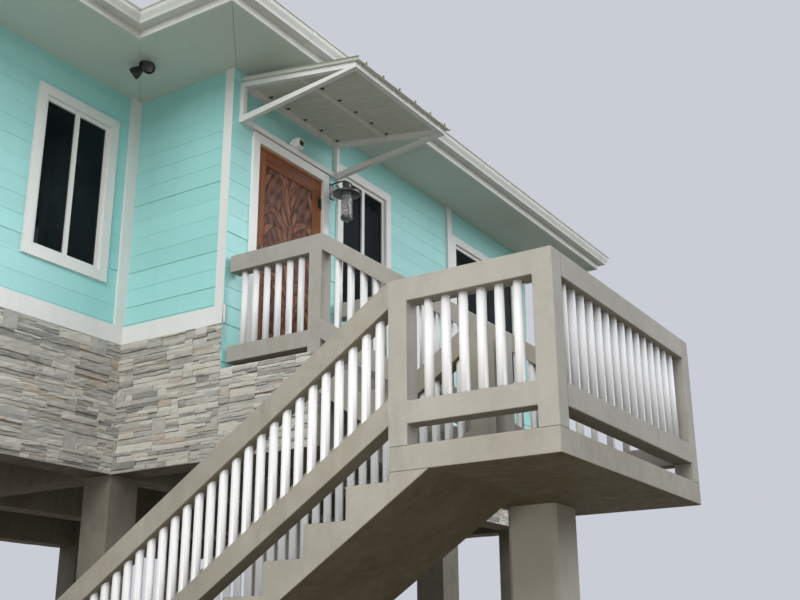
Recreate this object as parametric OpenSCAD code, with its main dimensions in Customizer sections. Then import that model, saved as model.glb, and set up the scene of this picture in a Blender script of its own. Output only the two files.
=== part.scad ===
// Stilt house: a timber-clad storey on concrete columns, reached by a concrete dog-leg stair.
// The frame has +X along the door wall, +Y into the house and +Z up, with the ground at z = 0.
// Inside the modules x = 0, y = 0 is the corner of the front block nearest the stair foot.

/* [House] */
// Height of the upper floor above the ground
floor_h = 3850; // [3700:10:4000]
// Length of the door wall
block_l = 5350; // [5300:50:6500]
// Length of the wing beyond the step in the plan
wing_l = 3300; // [2600:50:4500]
// Distance that the wing wall stands back from the door wall
step_d = 1130; // [1000:10:1400]
// Depth of the house from the door wall to the back wall
house_d = 5500; // [5000:50:7000]
// Height of the walls from the floor to the soffit
wall_h = 2630; // [2550:10:2900]
// Thickness of the timber walls
wall_t = 150; // [120:5:180]
// Thickness of the floor slab
floor_t = 150; // [120:5:180]
// Depth of the floor beams below the slab
beam_h = 550; // [400:10:600]
// Width of the floor beams
beam_w = 250; // [200:10:300]
// Side of the square house columns
column_w = 300; // [250:5:350]

// Place of the middle front column, from the corner
mid_column_x = 770; // [700:10:900]
// Place of the beam and the columns under the middle of the house, from the corner
mid_beam_x = 3290; // [3100:10:3500]

/* [Cladding] */
// Thickness of the ledger stone
stone_t = 30; // [20:1:40]
// Height of the stone above the floor on the walls without a door
stone_up = 370; // [250:10:450]
// Height of the white board above the stone
base_board_h = 150; // [100:5:180]
// Thickness of the white boards at the base, corners and openings
board_t = 28; // [20:1:35]
// Width of the white corner boards
corner_w = 110; // [80:5:130]
// Width of the white board at the corner of the step
step_board_w = 90; // [70:5:110]
// Width of the white post on the door wall
trim_post_w = 90; // [60:5:110]
// Lap of the corner boards over the ends of the siding
trim_lap = 15; // [10:1:20]

/* [Door] */
// Place of the door leaf's free edge, from the corner
door_x = 340; // [320:5:380]
// Width of the door leaf
door_w = 850; // [800:5:860]
// Height of the door leaf
door_h = 2020; // [1950:5:2050]
// Thickness of the door leaf
door_t = 45; // [38:1:50]
// Width of the door leaf's stiles
stile_w = 85; // [80:1:110]
// Height of the door leaf's top rail
top_rail_h = 110; // [80:5:150]
// Height of the door leaf's bottom rail
bottom_rail_h = 220; // [150:5:250]
// Depth of the panel on each face of the door leaf
panel_sink = 8; // [4:1:12]
// Gap under the door leaf
door_foot_gap = 8; // [6:1:12]
// Gap at the door leaf's free edge and top
door_gap = 8; // [7:1:12]
// Gap at the door leaf's hinged edge
hinge_gap = 5; // [5:1:8]
// Thickness of the door jambs
jamb_t = 32; // [30:1:40]
// Part of the jamb's edge that the casing leaves bare
casing_reveal = 22; // [20:1:24]
// Thickness of the door stops
stop_t = 13; // [10:1:16]
// Depth of the door stops
stop_d = 30; // [25:1:40]
// Gap between the door stops and the leaf
stop_gap = 5; // [5:1:8]
// Width of the white casing round the door
door_casing_w = 80; // [60:5:90]
// Height of the door lever above the floor
lever_h = 1050; // [950:10:1150]

/* [Windows] */
// Width of the white casing round each window
casing_w = 75; // [60:5:90]
// Lap of each casing over the edge of its opening
casing_lap = 8; // [5:1:12]
// Width of the window frame bars
sash_w = 42; // [30:1:50]
// Depth of the glass behind the wall's face
glass_y = 20; // [15:1:60]
// Thickness of the glass
glass_t = 6; // [4:1:10]
// Height of the window openings above the floor
sill_h = 930; // [850:10:980]
// Height of the window openings
window_h = 1330; // [1200:10:1400]
// Place of the entry window opening along the door wall
entry_window_x = 1520; // [1480:10:1560]
// Width of the entry window opening
entry_window_w = 745; // [650:5:800]
// Distance from the far window opening to the far corner
far_window_gap = 285; // [260:5:310]
// Width of the far window opening
far_window_w = 1430; // [1200:10:1500]
// Width of the wing window opening
wing_window_w = 710; // [600:10:800]
// Distance from the step to the wing window opening
wing_window_gap = 315; // [280:5:400]
// Width of the rear and side window openings
rear_window_w = 1100; // [900:10:1200]
// Distance from the wing's corner to the first opening in the back wall
rear_wing_gap = 1000; // [800:50:1200]
// Place of the middle opening in the back wall, from the step
rear_middle_x = 700; // [500:50:900]
// Distance from the last openings to the far back corner
rear_corner_gap = 550; // [400:50:700]
// Distance from the door wall to the first opening in the far side wall
side_window_gap = 1900; // [1500:50:2000]
// Distance from the wing's corner to its side window opening
wing_side_window_gap = 1500; // [1200:50:1800]

/* [Roof] */
// Overhang of the soffit past the door wall
over_front = 620; // [550:10:700]
// Overhang of the soffit past the other walls
over_side = 780; // [650:10:850]
// Slope of the roof in degrees
pitch = 22; // [15:1:28]
// Upright thickness of the roof covering
roof_t = 80; // [60:5:100]
// Height of the roof's outer edge
roof_edge = 25; // [15:1:40]
// Distance between the main ribs of the roof sheets
rib_pitch = 400; // [350:10:500]
// Width of a rib
rib_w = 50; // [40:1:60]
// Height of the ribs
rib_h = 22; // [15:1:30]
// Width of the caps over the hips and the ridge
cap_w = 280; // [200:10:320]
// Thickness of the soffit boards
soffit_t = 20; // [15:1:25]
// Height of the fascia
fascia_h = 190; // [150:5:230]
// Depth that the fascia hangs below the soffit
fascia_drop = 25; // [15:1:40]
// Thickness of the fascia
fascia_t = 30; // [20:1:40]
// Width of the gutter
gutter_w = 120; // [100:5:150]
// Height of the gutter
gutter_h = 110; // [90:5:130]
// Wall of the gutter
gutter_t = 4; // [3:1:6]

/* [Canopy] */
// Start of the door canopy from the corner
canopy_x = 55; // [40:5:80]
// Length of the door canopy
canopy_l = 1380; // [1330:10:1400]
// Reach of the door canopy
canopy_d = 1190; // [900:10:1250]
// Height of the canopy bracket's foot above the floor
canopy_foot = 2145; // [2145:5:2170]
// Height of the canopy bracket at the wall
canopy_rise = 370; // [330:5:420]
// Height of the canopy's front edge above the floor
canopy_front = 2290; // [2250:5:2330]
// Side of the square canopy tubes
tube_w = 45; // [35:1:50]
// Side of the purlin under the canopy sheet
purlin_w = 30; // [25:1:35]
// Distance of the purlin from the wall
purlin_y = 575; // [500:5:650]
// Thickness of the canopy sheet
sheet_t = 4; // [3:1:10]
// Reach of the canopy sheet past its frame
sheet_lip = 40; // [20:5:50]
// Distance between the ribs of the canopy sheet
sheet_rib_pitch = 230; // [180:10:300]
// Width of the ribs of the canopy sheet
sheet_rib_w = 60; // [40:5:80]
// Height of the ribs of the canopy sheet
sheet_rib_h = 25; // [15:1:35]

/* [Stair] */
// Width of the upper landing
landing_w = 1540; // [1500:10:1600]
// Width of the upper flight
upper_w = 960; // [900:10:1050]
// Depth of the upper landing
upper_landing_d = 930; // [850:10:1000]
// Drop from the upper floor to the middle landing
drop = 1060; // [1000:10:1100]
// Risers in the upper flight
upper_n = 6; // [5:1:7]
// Tread of the upper flight
upper_going = 250; // [240:2:260]
// Distance from the foot of the upper flight to the posts of the middle landing
foot_room = 120; // [110:5:150]
// Outer edge of the lower flight, from the step wall
stair_out = 1190; // [1150:10:1300]
// Width of the lower flight
lower_w = 1050; // [950:10:1060]
// Depth of the middle landing
middle_d = 1020; // [950:10:1200]
// Thickness of the middle landing
landing_t = 140; // [120:5:160]
// Risers in the lower flight
lower_n = 15; // [14:1:17]
// Tread of the lower flight
lower_going = 285; // [270:1:300]
// Upright thickness of the lower flight under its steps
waist = 120; // [100:5:150]
// Side of the landing's square column
landing_column_w = 350; // [300:10:380]
// Chamfer of the landing's column
column_chamfer = 30; // [15:1:40]

// Place of the landing's column, from the corner
landing_column_x = 300; // [200:10:400]

/* [Fittings] */
// Distance of the outer hinges from the ends of the door leaf
hinge_inset = 150; // [120:10:250]
// Place of the lantern along the door wall, from the corner
lantern_x = 1352; // [1330:2:1380]
// Reach of the lantern's arm from the wall
lantern_reach = 190; // [170:5:210]
// Height of the lantern's foot above the floor
lantern_foot = 1600; // [1550:10:1650]
// Height of the lantern's glass
lantern_glass_h = 300; // [250:10:320]
// Radius of the lantern's hood
hood_r = 140; // [110:5:145]
// Place of the sensor light along the door wall, from the corner
sensor_x = 700; // [680:10:760]
// Width of the sensor light
sensor_w = 140; // [100:5:150]
// Height of the sensor light
sensor_h = 80; // [70:5:90]
// Reach of the sensor light
sensor_d = 110; // [90:5:120]
// Distance of the twin lamps from the step wall
lamp_out = 480; // [400:10:600]
// Place of the twin lamps from the door wall's plane
lamp_y = 585; // [500:5:700]
// Distance from each lamp head to the middle of the twin lamps
lamp_spread = 70; // [60:5:90]

/* [Balustrades] */
// Side of the square posts
post_w = 120; // [100:5:130]
// Height of the rail above the middle landing
rail_h = 960; // [900:5:1000]
// Height of the rail above the upper landing
upper_rail_h = 925; // [900:5:1000]
// Depth of the top rails
rail_d = 140; // [120:5:160]
// Depth of the base rails
base_d = 130; // [110:5:150]
// Gap under the base rail of the middle landing and the lower flight
base_gap = 115; // [90:5:130]
// Gap under the base rail of the upper flight
flight_base_gap = 90; // [70:5:110]
// Gap under the base rail of the upper landing
upper_base_gap = 48; // [30:2:60]
// Diameter of the round balusters
baluster_d = 50; // [40:1:56]
// Clear distance between balusters on the lower flight
flight_pitch = 96; // [85:1:130]
// Distance between balusters on the landings and the upper flight
landing_pitch = 122; // [105:1:140]

/* [Hidden] */
$fn = 32;

CONCRETE = [0.72, 0.71, 0.67];
DARK_CONCRETE = [0.55, 0.53, 0.49];
WHITE = [0.94, 0.94, 0.93];
SIDING = [0.55, 0.84, 0.79];
STONE = [0.60, 0.59, 0.56];
OAK = [0.45, 0.24, 0.14];
SHEET = [0.80, 0.80, 0.77];
GLASS = [0.20, 0.24, 0.25, 0.6];
METAL = [0.55, 0.56, 0.56];

// Small gap between boards or sheets that meet at a corner
joint = 0.6;
// Clearance between a piece and the one that it hangs beside
seat = 0.3;

// Levels
middle_h = floor_h - drop;
beam_z = floor_h - floor_t - beam_h;
soffit_z = floor_h + wall_h;
roof_z = soffit_z + soffit_t;
upper_rise = drop / upper_n;
lower_rise = middle_h / lower_n;

// Places of the stair
upper_end = upper_landing_d + (upper_n - 1) * upper_going;
middle_edge = upper_end + foot_room;
middle_front = middle_edge + middle_d;
lower_run = (lower_n - 1) * lower_going;
lower_foot = lower_run - middle_edge;
lower_x = -stair_out;
inner_x = lower_x + lower_w;

// Places of the columns
front_column_x = [mid_column_x, mid_beam_x, block_l - column_w];
wing_column_x = [-wing_l, 0];
back_column_x = [-wing_l, 0, mid_beam_x, block_l - column_w];

// Centre of the part's outline, where its origin stands
rim = fascia_t + gutter_w;
centre_x = (block_l - wing_l) / 2;
centre_y = (house_d + over_side + rim - middle_front) / 2;

// Plan of the house, grown by side on every wall but the door wall, which grows by front
function plan(side, front) = [
    [-side, -front], [block_l + side, -front], [block_l + side, house_d + side],
    [-wing_l - side, house_d + side], [-wing_l - side, step_d - side], [-side, step_d - side]
];

// Unit vector along side i of the plan
function along(i) = [[1, 0], [0, 1], [-1, 0], [0, -1], [1, 0], [0, -1]][i];

// One side of the ring between two grown plans, with a joint at each end
function strip(i, a, b) = [
    a[i] + along(i) * joint, a[(i + 1) % 6] - along(i) * joint,
    b[(i + 1) % 6] - along(i) * joint, b[i] + along(i) * joint
];

module placed() {
    translate([-centre_x, -centre_y, 0]) children();
}

module block(x, y, z) {
    translate([x[0], y[0], z[0]]) cube([x[1] - x[0], y[1] - y[0], z[1] - z[0]]);
}

// Profile in the YZ plane, pushed along X
module side_profile(x0, x1, points) {
    translate([x0, 0, 0]) rotate([90, 0, 90]) linear_extrude(x1 - x0) polygon(points);
}

// Boards round the house between two grown plans
module ring(sides, a, b, z0, z1) {
    for (i = sides)
        translate([0, 0, z0]) linear_extrude(z1 - z0) polygon(strip(i, a, b));
}

module floor_slab() {
    color(CONCRETE) placed()
        translate([0, 0, floor_h - floor_t]) linear_extrude(floor_t) polygon(plan(0, 0));
}

module floor_beams() {
    color(DARK_CONCRETE) placed()
        translate([0, 0, beam_z]) linear_extrude(beam_h) difference() {
            polygon(plan(0, 0));
            // Bays between the beams
            mid_y = (step_d + house_d + beam_w) / 2;
            bay_y = [beam_w, step_d + beam_w, mid_y, house_d - beam_w];
            translate([beam_w, bay_y[0]])
                square([block_l - 2 * beam_w, step_d - beam_w]);
            for (x = [[-wing_l + beam_w, 0], [beam_w, mid_beam_x],
                [mid_beam_x + beam_w, block_l - beam_w]]) {
                translate([x[0], bay_y[1]]) square([x[1] - x[0], bay_y[2] - bay_y[1] - beam_w]);
                translate([x[0], bay_y[2]]) square([x[1] - x[0], bay_y[3] - bay_y[2]]);
            }
        }
}

module column(x, y) {
    block([x, x + column_w], [y, y + column_w], [0, beam_z]);
}

module columns() {
    color(DARK_CONCRETE) placed() {
        for (x = front_column_x) column(x, 0);
        for (x = wing_column_x) column(x, step_d);
        for (x = back_column_x) column(x, house_d - column_w);
    }
}

module stone_band() {
    color(STONE) placed() {
        ring([0], plan(0, 0), plan(stone_t, stone_t), beam_z, floor_h);
        ring([1, 2, 3, 4, 5], plan(0, 0), plan(stone_t, stone_t), beam_z, floor_h + stone_up);
        // Faces of the upper landing
        for (x = [-stone_t, landing_w])
            block([x, x + stone_t], [-upper_landing_d, -stone_t - joint], [beam_z, floor_h]);
    }
}

// Wall panel with openings given as [start, width]
module panel(l, holes) {
    difference() {
        cube([l, wall_t, wall_h]);
        for (h = holes)
            translate([h[0], -1, sill_h]) cube([h[1], wall_t + 2, window_h]);
    }
}

rough_x0 = door_x - door_gap - jamb_t;
rough_x1 = door_x + door_w + hinge_gap + jamb_t;
rough_h = door_foot_gap + door_h + door_gap + jamb_t;
wing_window_x = -wing_window_gap - wing_window_w;
far_window_x = block_l - far_window_gap - far_window_w;
trim_post_x = far_window_x - casing_w - trim_post_w;
rear_windows = [
    -wing_l + rear_wing_gap, rear_middle_x, block_l - rear_corner_gap - rear_window_w
];
side_windows = [side_window_gap, house_d - wall_t - rear_corner_gap - rear_window_w];

module front_wall_corner() {
    color(SIDING) placed() block([0, rough_x0], [0, wall_t], [floor_h, soffit_z]);
}

module front_wall_over_door() {
    color(SIDING) placed()
        block([rough_x0, rough_x1], [0, wall_t], [floor_h + rough_h, soffit_z]);
}

module front_wall_long() {
    color(SIDING) placed() translate([rough_x1, 0, floor_h])
        panel(block_l - rough_x1, [
            [entry_window_x - rough_x1, entry_window_w],
            [far_window_x - rough_x1, far_window_w]
        ]);
}

module step_wall() {
    color(SIDING) placed()
        block([0, wall_t], [wall_t, step_d + wall_t], [floor_h, soffit_z]);
}

module wing_front_wall() {
    color(SIDING) placed() translate([-wing_l, step_d, floor_h])
        panel(wing_l, [[wing_l + wing_window_x, wing_window_w]]);
}

module wing_side_wall() {
    color(SIDING) placed()
        translate([-wing_l + wall_t, step_d + wall_t, floor_h]) rotate([0, 0, 90])
            panel(house_d - step_d - 2 * wall_t, [[wing_side_window_gap, rear_window_w]]);
}

module back_wall() {
    color(SIDING) placed() translate([-wing_l, house_d - wall_t, floor_h])
        panel(wing_l + block_l, [for (x = rear_windows) [x + wing_l, rear_window_w]]);
}

module far_side_wall() {
    color(SIDING) placed() translate([block_l, wall_t, floor_h]) rotate([0, 0, 90])
        panel(house_d - 2 * wall_t, [for (y = side_windows) [y - wall_t, rear_window_w]]);
}

// White boards over the stone and at the corners
module wall_trim() {
    base_z = floor_h + stone_up;
    t = board_t;
    w = corner_w;
    z0 = base_z + base_board_h;
    color(WHITE) placed() {
        ring([1, 2, 3, 4, 5], plan(0, 0), plan(t, t), base_z, z0);
        // Step corner, concave corner, and the post on the door wall
        block([-t, 0], [0, step_board_w], [z0, soffit_z]);
        block([-w, 0], [step_d - t, step_d], [z0, soffit_z]);
        block([trim_post_x, trim_post_x + trim_post_w], [-t, 0], [floor_h, soffit_z]);
        // Far and back corners
        block([block_l, block_l + t], [-trim_lap, w], [z0, soffit_z]);
        block([block_l, block_l + t], [house_d - w, house_d + trim_lap], [z0, soffit_z]);
        block([-wing_l - t, -wing_l], [house_d - w, house_d + trim_lap], [z0, soffit_z]);
        block([-wing_l - t, -wing_l], [step_d - trim_lap, step_d + w], [z0, soffit_z]);
    }
}

// Casing outside the wall and a frame in the opening, with a bar between two panes
module window_frame(w) {
    difference() {
        translate([-casing_w, -board_t, -casing_w])
            cube([w + 2 * casing_w, board_t, window_h + 2 * casing_w]);
        translate([casing_lap, -board_t - 1, casing_lap])
            cube([w - 2 * casing_lap, board_t + 2, window_h - 2 * casing_lap]);
    }
    difference() {
        cube([w, wall_t, window_h]);
        translate([0, -1, 0]) window_lights(w, wall_t + 2);
    }
}

// The two clear spaces between the bars of a window frame
module window_lights(w, d) {
    for (x = [sash_w, (w + sash_w) / 2])
        translate([x, 0, sash_w]) cube([(w - 3 * sash_w) / 2, d, window_h - 2 * sash_w]);
}

module window_panes(w) {
    translate([0, glass_y, 0]) window_lights(w, glass_t);
}

module at_front_windows() {
    translate([entry_window_x, 0, floor_h + sill_h]) children(0);
    translate([far_window_x, 0, floor_h + sill_h]) children(1);
    translate([wing_window_x, step_d, floor_h + sill_h]) children(2);
}

module at_rear_windows() {
    for (x = rear_windows)
        translate([x + rear_window_w, house_d, floor_h + sill_h]) rotate([0, 0, 180]) children();
    for (y = side_windows)
        translate([block_l, y, floor_h + sill_h]) rotate([0, 0, 90]) children();
    wing_y = step_d + wall_t + wing_side_window_gap + rear_window_w;
    translate([-wing_l, wing_y, floor_h + sill_h]) rotate([0, 0, -90]) children();
}

module window_frames() {
    color(WHITE) placed() {
        at_front_windows() {
            window_frame(entry_window_w);
            window_frame(far_window_w);
            window_frame(wing_window_w);
        }
        at_rear_windows() window_frame(rear_window_w);
    }
}

module window_glass() {
    color(GLASS) placed() {
        at_front_windows() {
            window_panes(entry_window_w);
            window_panes(far_window_w);
            window_panes(wing_window_w);
        }
        at_rear_windows() window_panes(rear_window_w);
    }
}

// Two upright boards and a head board round the doorway. The head board ends short of what
// stands beside it by inset.
module door_boards(x0, x1, z1, w, y0, y1, inset = 0) {
    block([x0 - w, x0], [y0, y1], [floor_h, z1]);
    block([x1, x1 + w], [y0, y1], [floor_h, z1]);
    block([x0 - w + inset, x1 + w - inset], [y0, y1], [z1 + joint, z1 + w]);
}

module door_casing() {
    lap = jamb_t - casing_reveal;
    color(WHITE) placed()
        door_boards(rough_x0 + lap, rough_x1 - lap, floor_h + rough_h - lap,
            door_casing_w, -board_t, 0);
}

// Jambs with the stops that the leaf closes against
module door_jamb() {
    stop_in = jamb_t + stop_t;
    stop_y = door_t + stop_gap;
    color(OAK) placed() {
        door_boards(rough_x0 + jamb_t, rough_x1 - jamb_t, floor_h + rough_h - jamb_t,
            jamb_t, 0, wall_t);
        door_boards(rough_x0 + stop_in, rough_x1 - stop_in, floor_h + rough_h - stop_in,
            stop_t, stop_y, stop_y + stop_d, joint);
    }
}

// The leaf lies flush with the outside of the wall and opens over the landing
leaf_z0 = floor_h + door_foot_gap;

module door_leaf() {
    color(OAK) placed() difference() {
        block([door_x, door_x + door_w], [0, door_t], [leaf_z0, leaf_z0 + door_h]);
        for (y = [[-1, panel_sink], [door_t - panel_sink, door_t + 1]])
            block([door_x + stile_w, door_x + door_w - stile_w], y,
                [leaf_z0 + bottom_rail_h, leaf_z0 + door_h - top_rail_h]);
    }
}

// Butt hinges, with the pin beside the outer face of the leaf
hinge_x = door_x + door_w + hinge_gap / 2;
hinge_h = 100;
hinge_z = [for (z = [hinge_inset, (door_h - hinge_h) / 2, door_h - hinge_inset - hinge_h])
    leaf_z0 + z];
knuckle_r = 7;
plate_x = knuckle_r + 1;
plate_w = casing_reveal + hinge_gap / 2 - plate_x - seat;
pin_r = 3;
pin_clearance = 0.1;
plate_t = 3;

// Plate of a hinge on one side of its pin, with tabs to the knuckles from z0 to z1
module hinge_plate(side, tabs) {
    mirror([side, 0, 0]) {
        translate([plate_x, knuckle_r - plate_t, 0]) cube([plate_w, plate_t, hinge_h]);
        for (t = tabs) {
            translate([2, knuckle_r - plate_t, t[0]]) cube([plate_x - 1, plate_t, t[1] - t[0]]);
            translate([0, 0, t[0]]) cylinder(r = knuckle_r, h = t[1] - t[0]);
        }
    }
}

module door_hinges() {
    third = hinge_h / 3;
    color(METAL) placed() for (z = hinge_z) translate([hinge_x, -knuckle_r, z]) {
        hinge_plate(0, [[0, third], [2 * third, hinge_h]]);
        cylinder(r = pin_r, h = hinge_h);
    }
}

lever_x = 55;

module lever_handle(side) {
    plate = [42, 6, 220];
    lever_r = 9;
    reach = 50;
    lever_l = 120;
    mirror([0, side, 0]) {
        translate([-plate[0] / 2, -plate[1], -plate[2] / 2]) cube(plate);
        rotate([90, 0, 0]) cylinder(r = lever_r, h = reach);
        translate([0, -reach + lever_r, 0]) rotate([0, 90, 0]) cylinder(r = lever_r, h = lever_l);
    }
}

// Moving half of each hinge, and a lever on each face of the leaf
module door_hardware() {
    third = hinge_h / 3;
    color(METAL) placed() {
        for (z = hinge_z) translate([hinge_x, -knuckle_r, z]) difference() {
            hinge_plate(1, [[third + seat, 2 * third - seat]]);
            translate([0, 0, -1]) cylinder(r = pin_r + pin_clearance, h = hinge_h + 2);
        }
        translate([door_x + lever_x, 0, floor_h + lever_h]) lever_handle(0);
        translate([door_x + lever_x, door_t, floor_h + lever_h]) lever_handle(1);
    }
}

module soffit() {
    color(SHEET) placed()
        ring([0, 1, 2, 3, 4, 5], plan(0, 0), plan(over_side, over_front), soffit_z, roof_z);
}

module fascia() {
    color(WHITE) placed()
        ring([0, 1, 2, 3, 4, 5], plan(over_side, over_front),
            plan(over_side + fascia_t, over_front + fascia_t),
            soffit_z - fascia_drop, soffit_z - fascia_drop + fascia_h);
}

module gutter() {
    top = soffit_z - fascia_drop + fascia_h - 10;
    function at(g) = plan(over_side + g, over_front + g);
    a = fascia_t;
    b = rim;
    t = gutter_t;
    color(WHITE) placed() for (i = [0 : 5]) translate([0, 0, top - gutter_h]) {
        linear_extrude(t) polygon(strip(i, at(a), at(b)));
        linear_extrude(gutter_h) polygon(strip(i, at(a), at(a + t)));
        linear_extrude(gutter_h) polygon(strip(i, at(b - t), at(b)));
    }
}

// Hip over the rectangle from p to q, as two gables that cut each other
module hip(p, q) {
    size = q - p;
    span = max(size) + 2;
    module gable(w) {
        rotate([90, 0, 90]) linear_extrude(span)
            polygon([[0, 0], [w, 0], [w, roof_edge], [w / 2, roof_edge + w / 2 * tan(pitch)],
                [0, roof_edge]]);
    }
    translate([p[0], p[1], 0]) intersection() {
        translate([-1, 0, 0]) gable(size[1]);
        translate([size[0], -1, 0]) rotate([0, 0, 90]) gable(size[0]);
    }
}

// Hips of the front block and of the wing, whose eaves share one level
roof_grow = fascia_t + 20;
eave_side = over_side + roof_grow;
eave_front = over_front + roof_grow;
eave_z = soffit_z - fascia_drop + fascia_h;

cap_t = rib_h + 4;
cap_end = 50;
rib_end = 60;
rib_root = 8;

// Corners of the rectangles that the two hips cover
main_p = [-eave_side, -eave_front];
wing_p = [-wing_l - eave_side, step_d - eave_side];
eave_q = [block_l + eave_side, house_d + eave_side];
main_size = eave_q - main_p;
wing_size = eave_q - wing_p;
main_half = min(main_size) / 2;
wing_half = wing_size[1] / 2;

// Ends of the ridges, and the point where the wing's ridge meets the main slope
apex = [main_p[0] + main_half, main_p[1] + main_half];
apex_q = eave_q - [main_half, main_half];
wing_apex = wing_p + [wing_half, wing_half];
wing_end = [main_p[0] + wing_half, wing_apex[1]];

module main_hip() {
    hip(main_p, eave_q);
}

module wing_hip() {
    hip(wing_p, eave_q);
}

// Folded caps along lines of the plan, on the hip that the child makes. Each runs a little
// past the end of its line, under the next cap.
module caps(lines) {
    intersection() {
        translate([0, 0, cap_t]) children();
        linear_extrude(main_size[0]) for (l = lines) {
            run = l[1] - l[0];
            translate(l[0]) rotate(atan2(run[1], run[0]))
                translate([0, -cap_w / 2]) square([norm(run) + cap_end, cap_w]);
        }
    }
}

// Ribs up one slope, from the line foot(s) to the line head(s) at the place s along its eave
module slope_ribs(start, turn, length, foot, head) {
    n = floor(length / rib_pitch);
    translate([start[0], start[1], roof_edge]) rotate([0, 0, turn]) for (k = [0 : n - 1]) {
        s = (k + 0.5) * length / n;
        d = [foot(s), head(s) - rib_end];
        z = d * tan(pitch);
        if (d[1] - d[0] > rib_pitch / 2)
            side_profile(s - rib_w / 2, s + rib_w / 2, [[d[0], z[0] - rib_root],
                [d[1], z[1] - rib_root], [d[1], z[1] + rib_h], [d[0], z[0] + rib_h]]);
    }
}

// Distance up the back slope to the edge of each hip, at the place s along the eave
function back_main(s) = min(s, main_size[0] - s, main_half);
function back_wing(s) = min(s, wing_size[0] - s, wing_half);

module main_ribs() {
    slope_ribs(main_p, 0, main_size[0], function(s) 0, function(s) back_main(s));
    slope_ribs([eave_q[0], main_p[1]], 90, main_size[1], function(s) 0,
        function(s) min(s, main_size[1] - s, main_half));
    slope_ribs(eave_q, 180, wing_size[0], function(s) 0, function(s) back_main(s));
    // Slope that the wing's roof partly covers
    slope_ribs([main_p[0], eave_q[1]], -90, main_size[1],
        function(s) s > wing_size[1] ? 0 : min(s, wing_size[1] - s) + rib_end,
        function(s) min(s, main_size[1] - s, main_half));
}

module wing_ribs() {
    span = main_p[0] - wing_p[0];
    slope_ribs(eave_q, 180, wing_size[0],
        function(s) s > main_size[0] ? 0 : back_main(s) + rib_end, function(s) back_wing(s));
    slope_ribs([wing_p[0], eave_q[1]], -90, wing_size[1], function(s) 0,
        function(s) min(s, wing_size[1] - s));
    slope_ribs(wing_p, 0, span + wing_half,
        function(s) s < span ? 0 : s - span + rib_end, function(s) min(s, wing_half));
}

module main_roof() {
    color(SHEET) placed() translate([0, 0, eave_z]) difference() {
        union() {
            main_hip();
            main_ribs();
            caps([[main_p, apex], [[eave_q[0], main_p[1]], [apex_q[0], apex[1]]],
                [eave_q, apex_q], [wing_end, [apex[0], apex_q[1]]]]) main_hip();
        }
        translate([0, 0, -roof_t]) main_hip();
    }
}

// The wing's roof dies into the slope of the main roof at a valley
module wing_roof() {
    valley_x = main_p[0] - joint;
    back_y = eave_q[1];
    color(SHEET) placed() translate([0, 0, eave_z]) difference() {
        intersection() {
            union() {
                wing_hip();
                wing_ribs();
                caps([[wing_p, wing_apex], [[wing_p[0], back_y], wing_apex],
                    [wing_apex - [cap_end, 0], wing_end - [cap_w, 0]]]) wing_hip();
            }
            linear_extrude(main_size[0]) polygon([wing_p, [valley_x, wing_p[1]],
                wing_end - [joint, 0], [valley_x, back_y], [wing_p[0], back_y]]);
        }
        translate([0, 0, -roof_t]) wing_hip();
        main_hip();
    }
}

module canopy_frame() {
    foot = floor_h + canopy_foot;
    head = foot + canopy_rise;
    tip = [-canopy_d, floor_h + canopy_front];
    slope = (head - tube_w - tip[1]) / (canopy_d - tube_w);
    color(WHITE) placed() {
        for (x = [canopy_x, canopy_x + canopy_l - tube_w]) {
            block([x, x + tube_w], [-tube_w, 0], [foot, head]);
            side_profile(x, x + tube_w, [[-tube_w, head - tube_w], [-tube_w, head],
                tip + [0, tube_w], tip]);
            side_profile(x, x + tube_w, [[-tube_w, foot], [-tube_w, foot + tube_w * 1.3],
                tip + [tube_w, tube_w / 2], tip]);
        }
        block([canopy_x, canopy_x + canopy_l], [-canopy_d, -canopy_d + tube_w],
            [tip[1], tip[1] + tube_w]);
        block([canopy_x, canopy_x + canopy_l], [-tube_w, 0], [foot, foot + tube_w]);
        block([canopy_x, canopy_x + canopy_l], [-tube_w, 0], [head - tube_w, head]);
        // Purlin between the brackets, under the sheet
        translate([0, -purlin_y, head - slope * (purlin_y - tube_w)])
            side_profile(canopy_x, canopy_x + canopy_l, [[0, -purlin_w], [0, 0],
                [-purlin_w, -slope * purlin_w], [-purlin_w, -purlin_w - slope * purlin_w]]);
    }
}

// Section of a rib at x, which narrows to half its width at its top
module sheet_rib(x, w, h) {
    polygon([[x - w / 2, 0], [x + w / 2, 0], [x + w / 4, h], [x - w / 4, h]]);
}

// Ribbed sheet on the brackets, from the wall bar to just past the front bar
module canopy_sheet() {
    head = floor_h + canopy_foot + canopy_rise;
    front = floor_h + canopy_front + tube_w;
    fall = atan((head - front) / (canopy_d - tube_w));
    l = canopy_l + 2 * sheet_lip;
    n = floor(l / sheet_rib_pitch);
    ribs = [for (k = [0 : n - 1]) (k + 0.5) * l / n];
    color(SHEET) placed()
        translate([canopy_x - sheet_lip, -tube_w, head + seat / cos(fall)])
            rotate([90 + fall, 0, 0])
                linear_extrude((canopy_d - tube_w + sheet_lip) / cos(fall)) difference() {
                    union() {
                        square([l, sheet_t]);
                        for (x = ribs)
                            sheet_rib(x, sheet_rib_w + 2 * sheet_t, sheet_rib_h + sheet_t);
                    }
                    for (x = ribs) translate([0, -0.01]) sheet_rib(x, sheet_rib_w, sheet_rib_h);
                }
}

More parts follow.
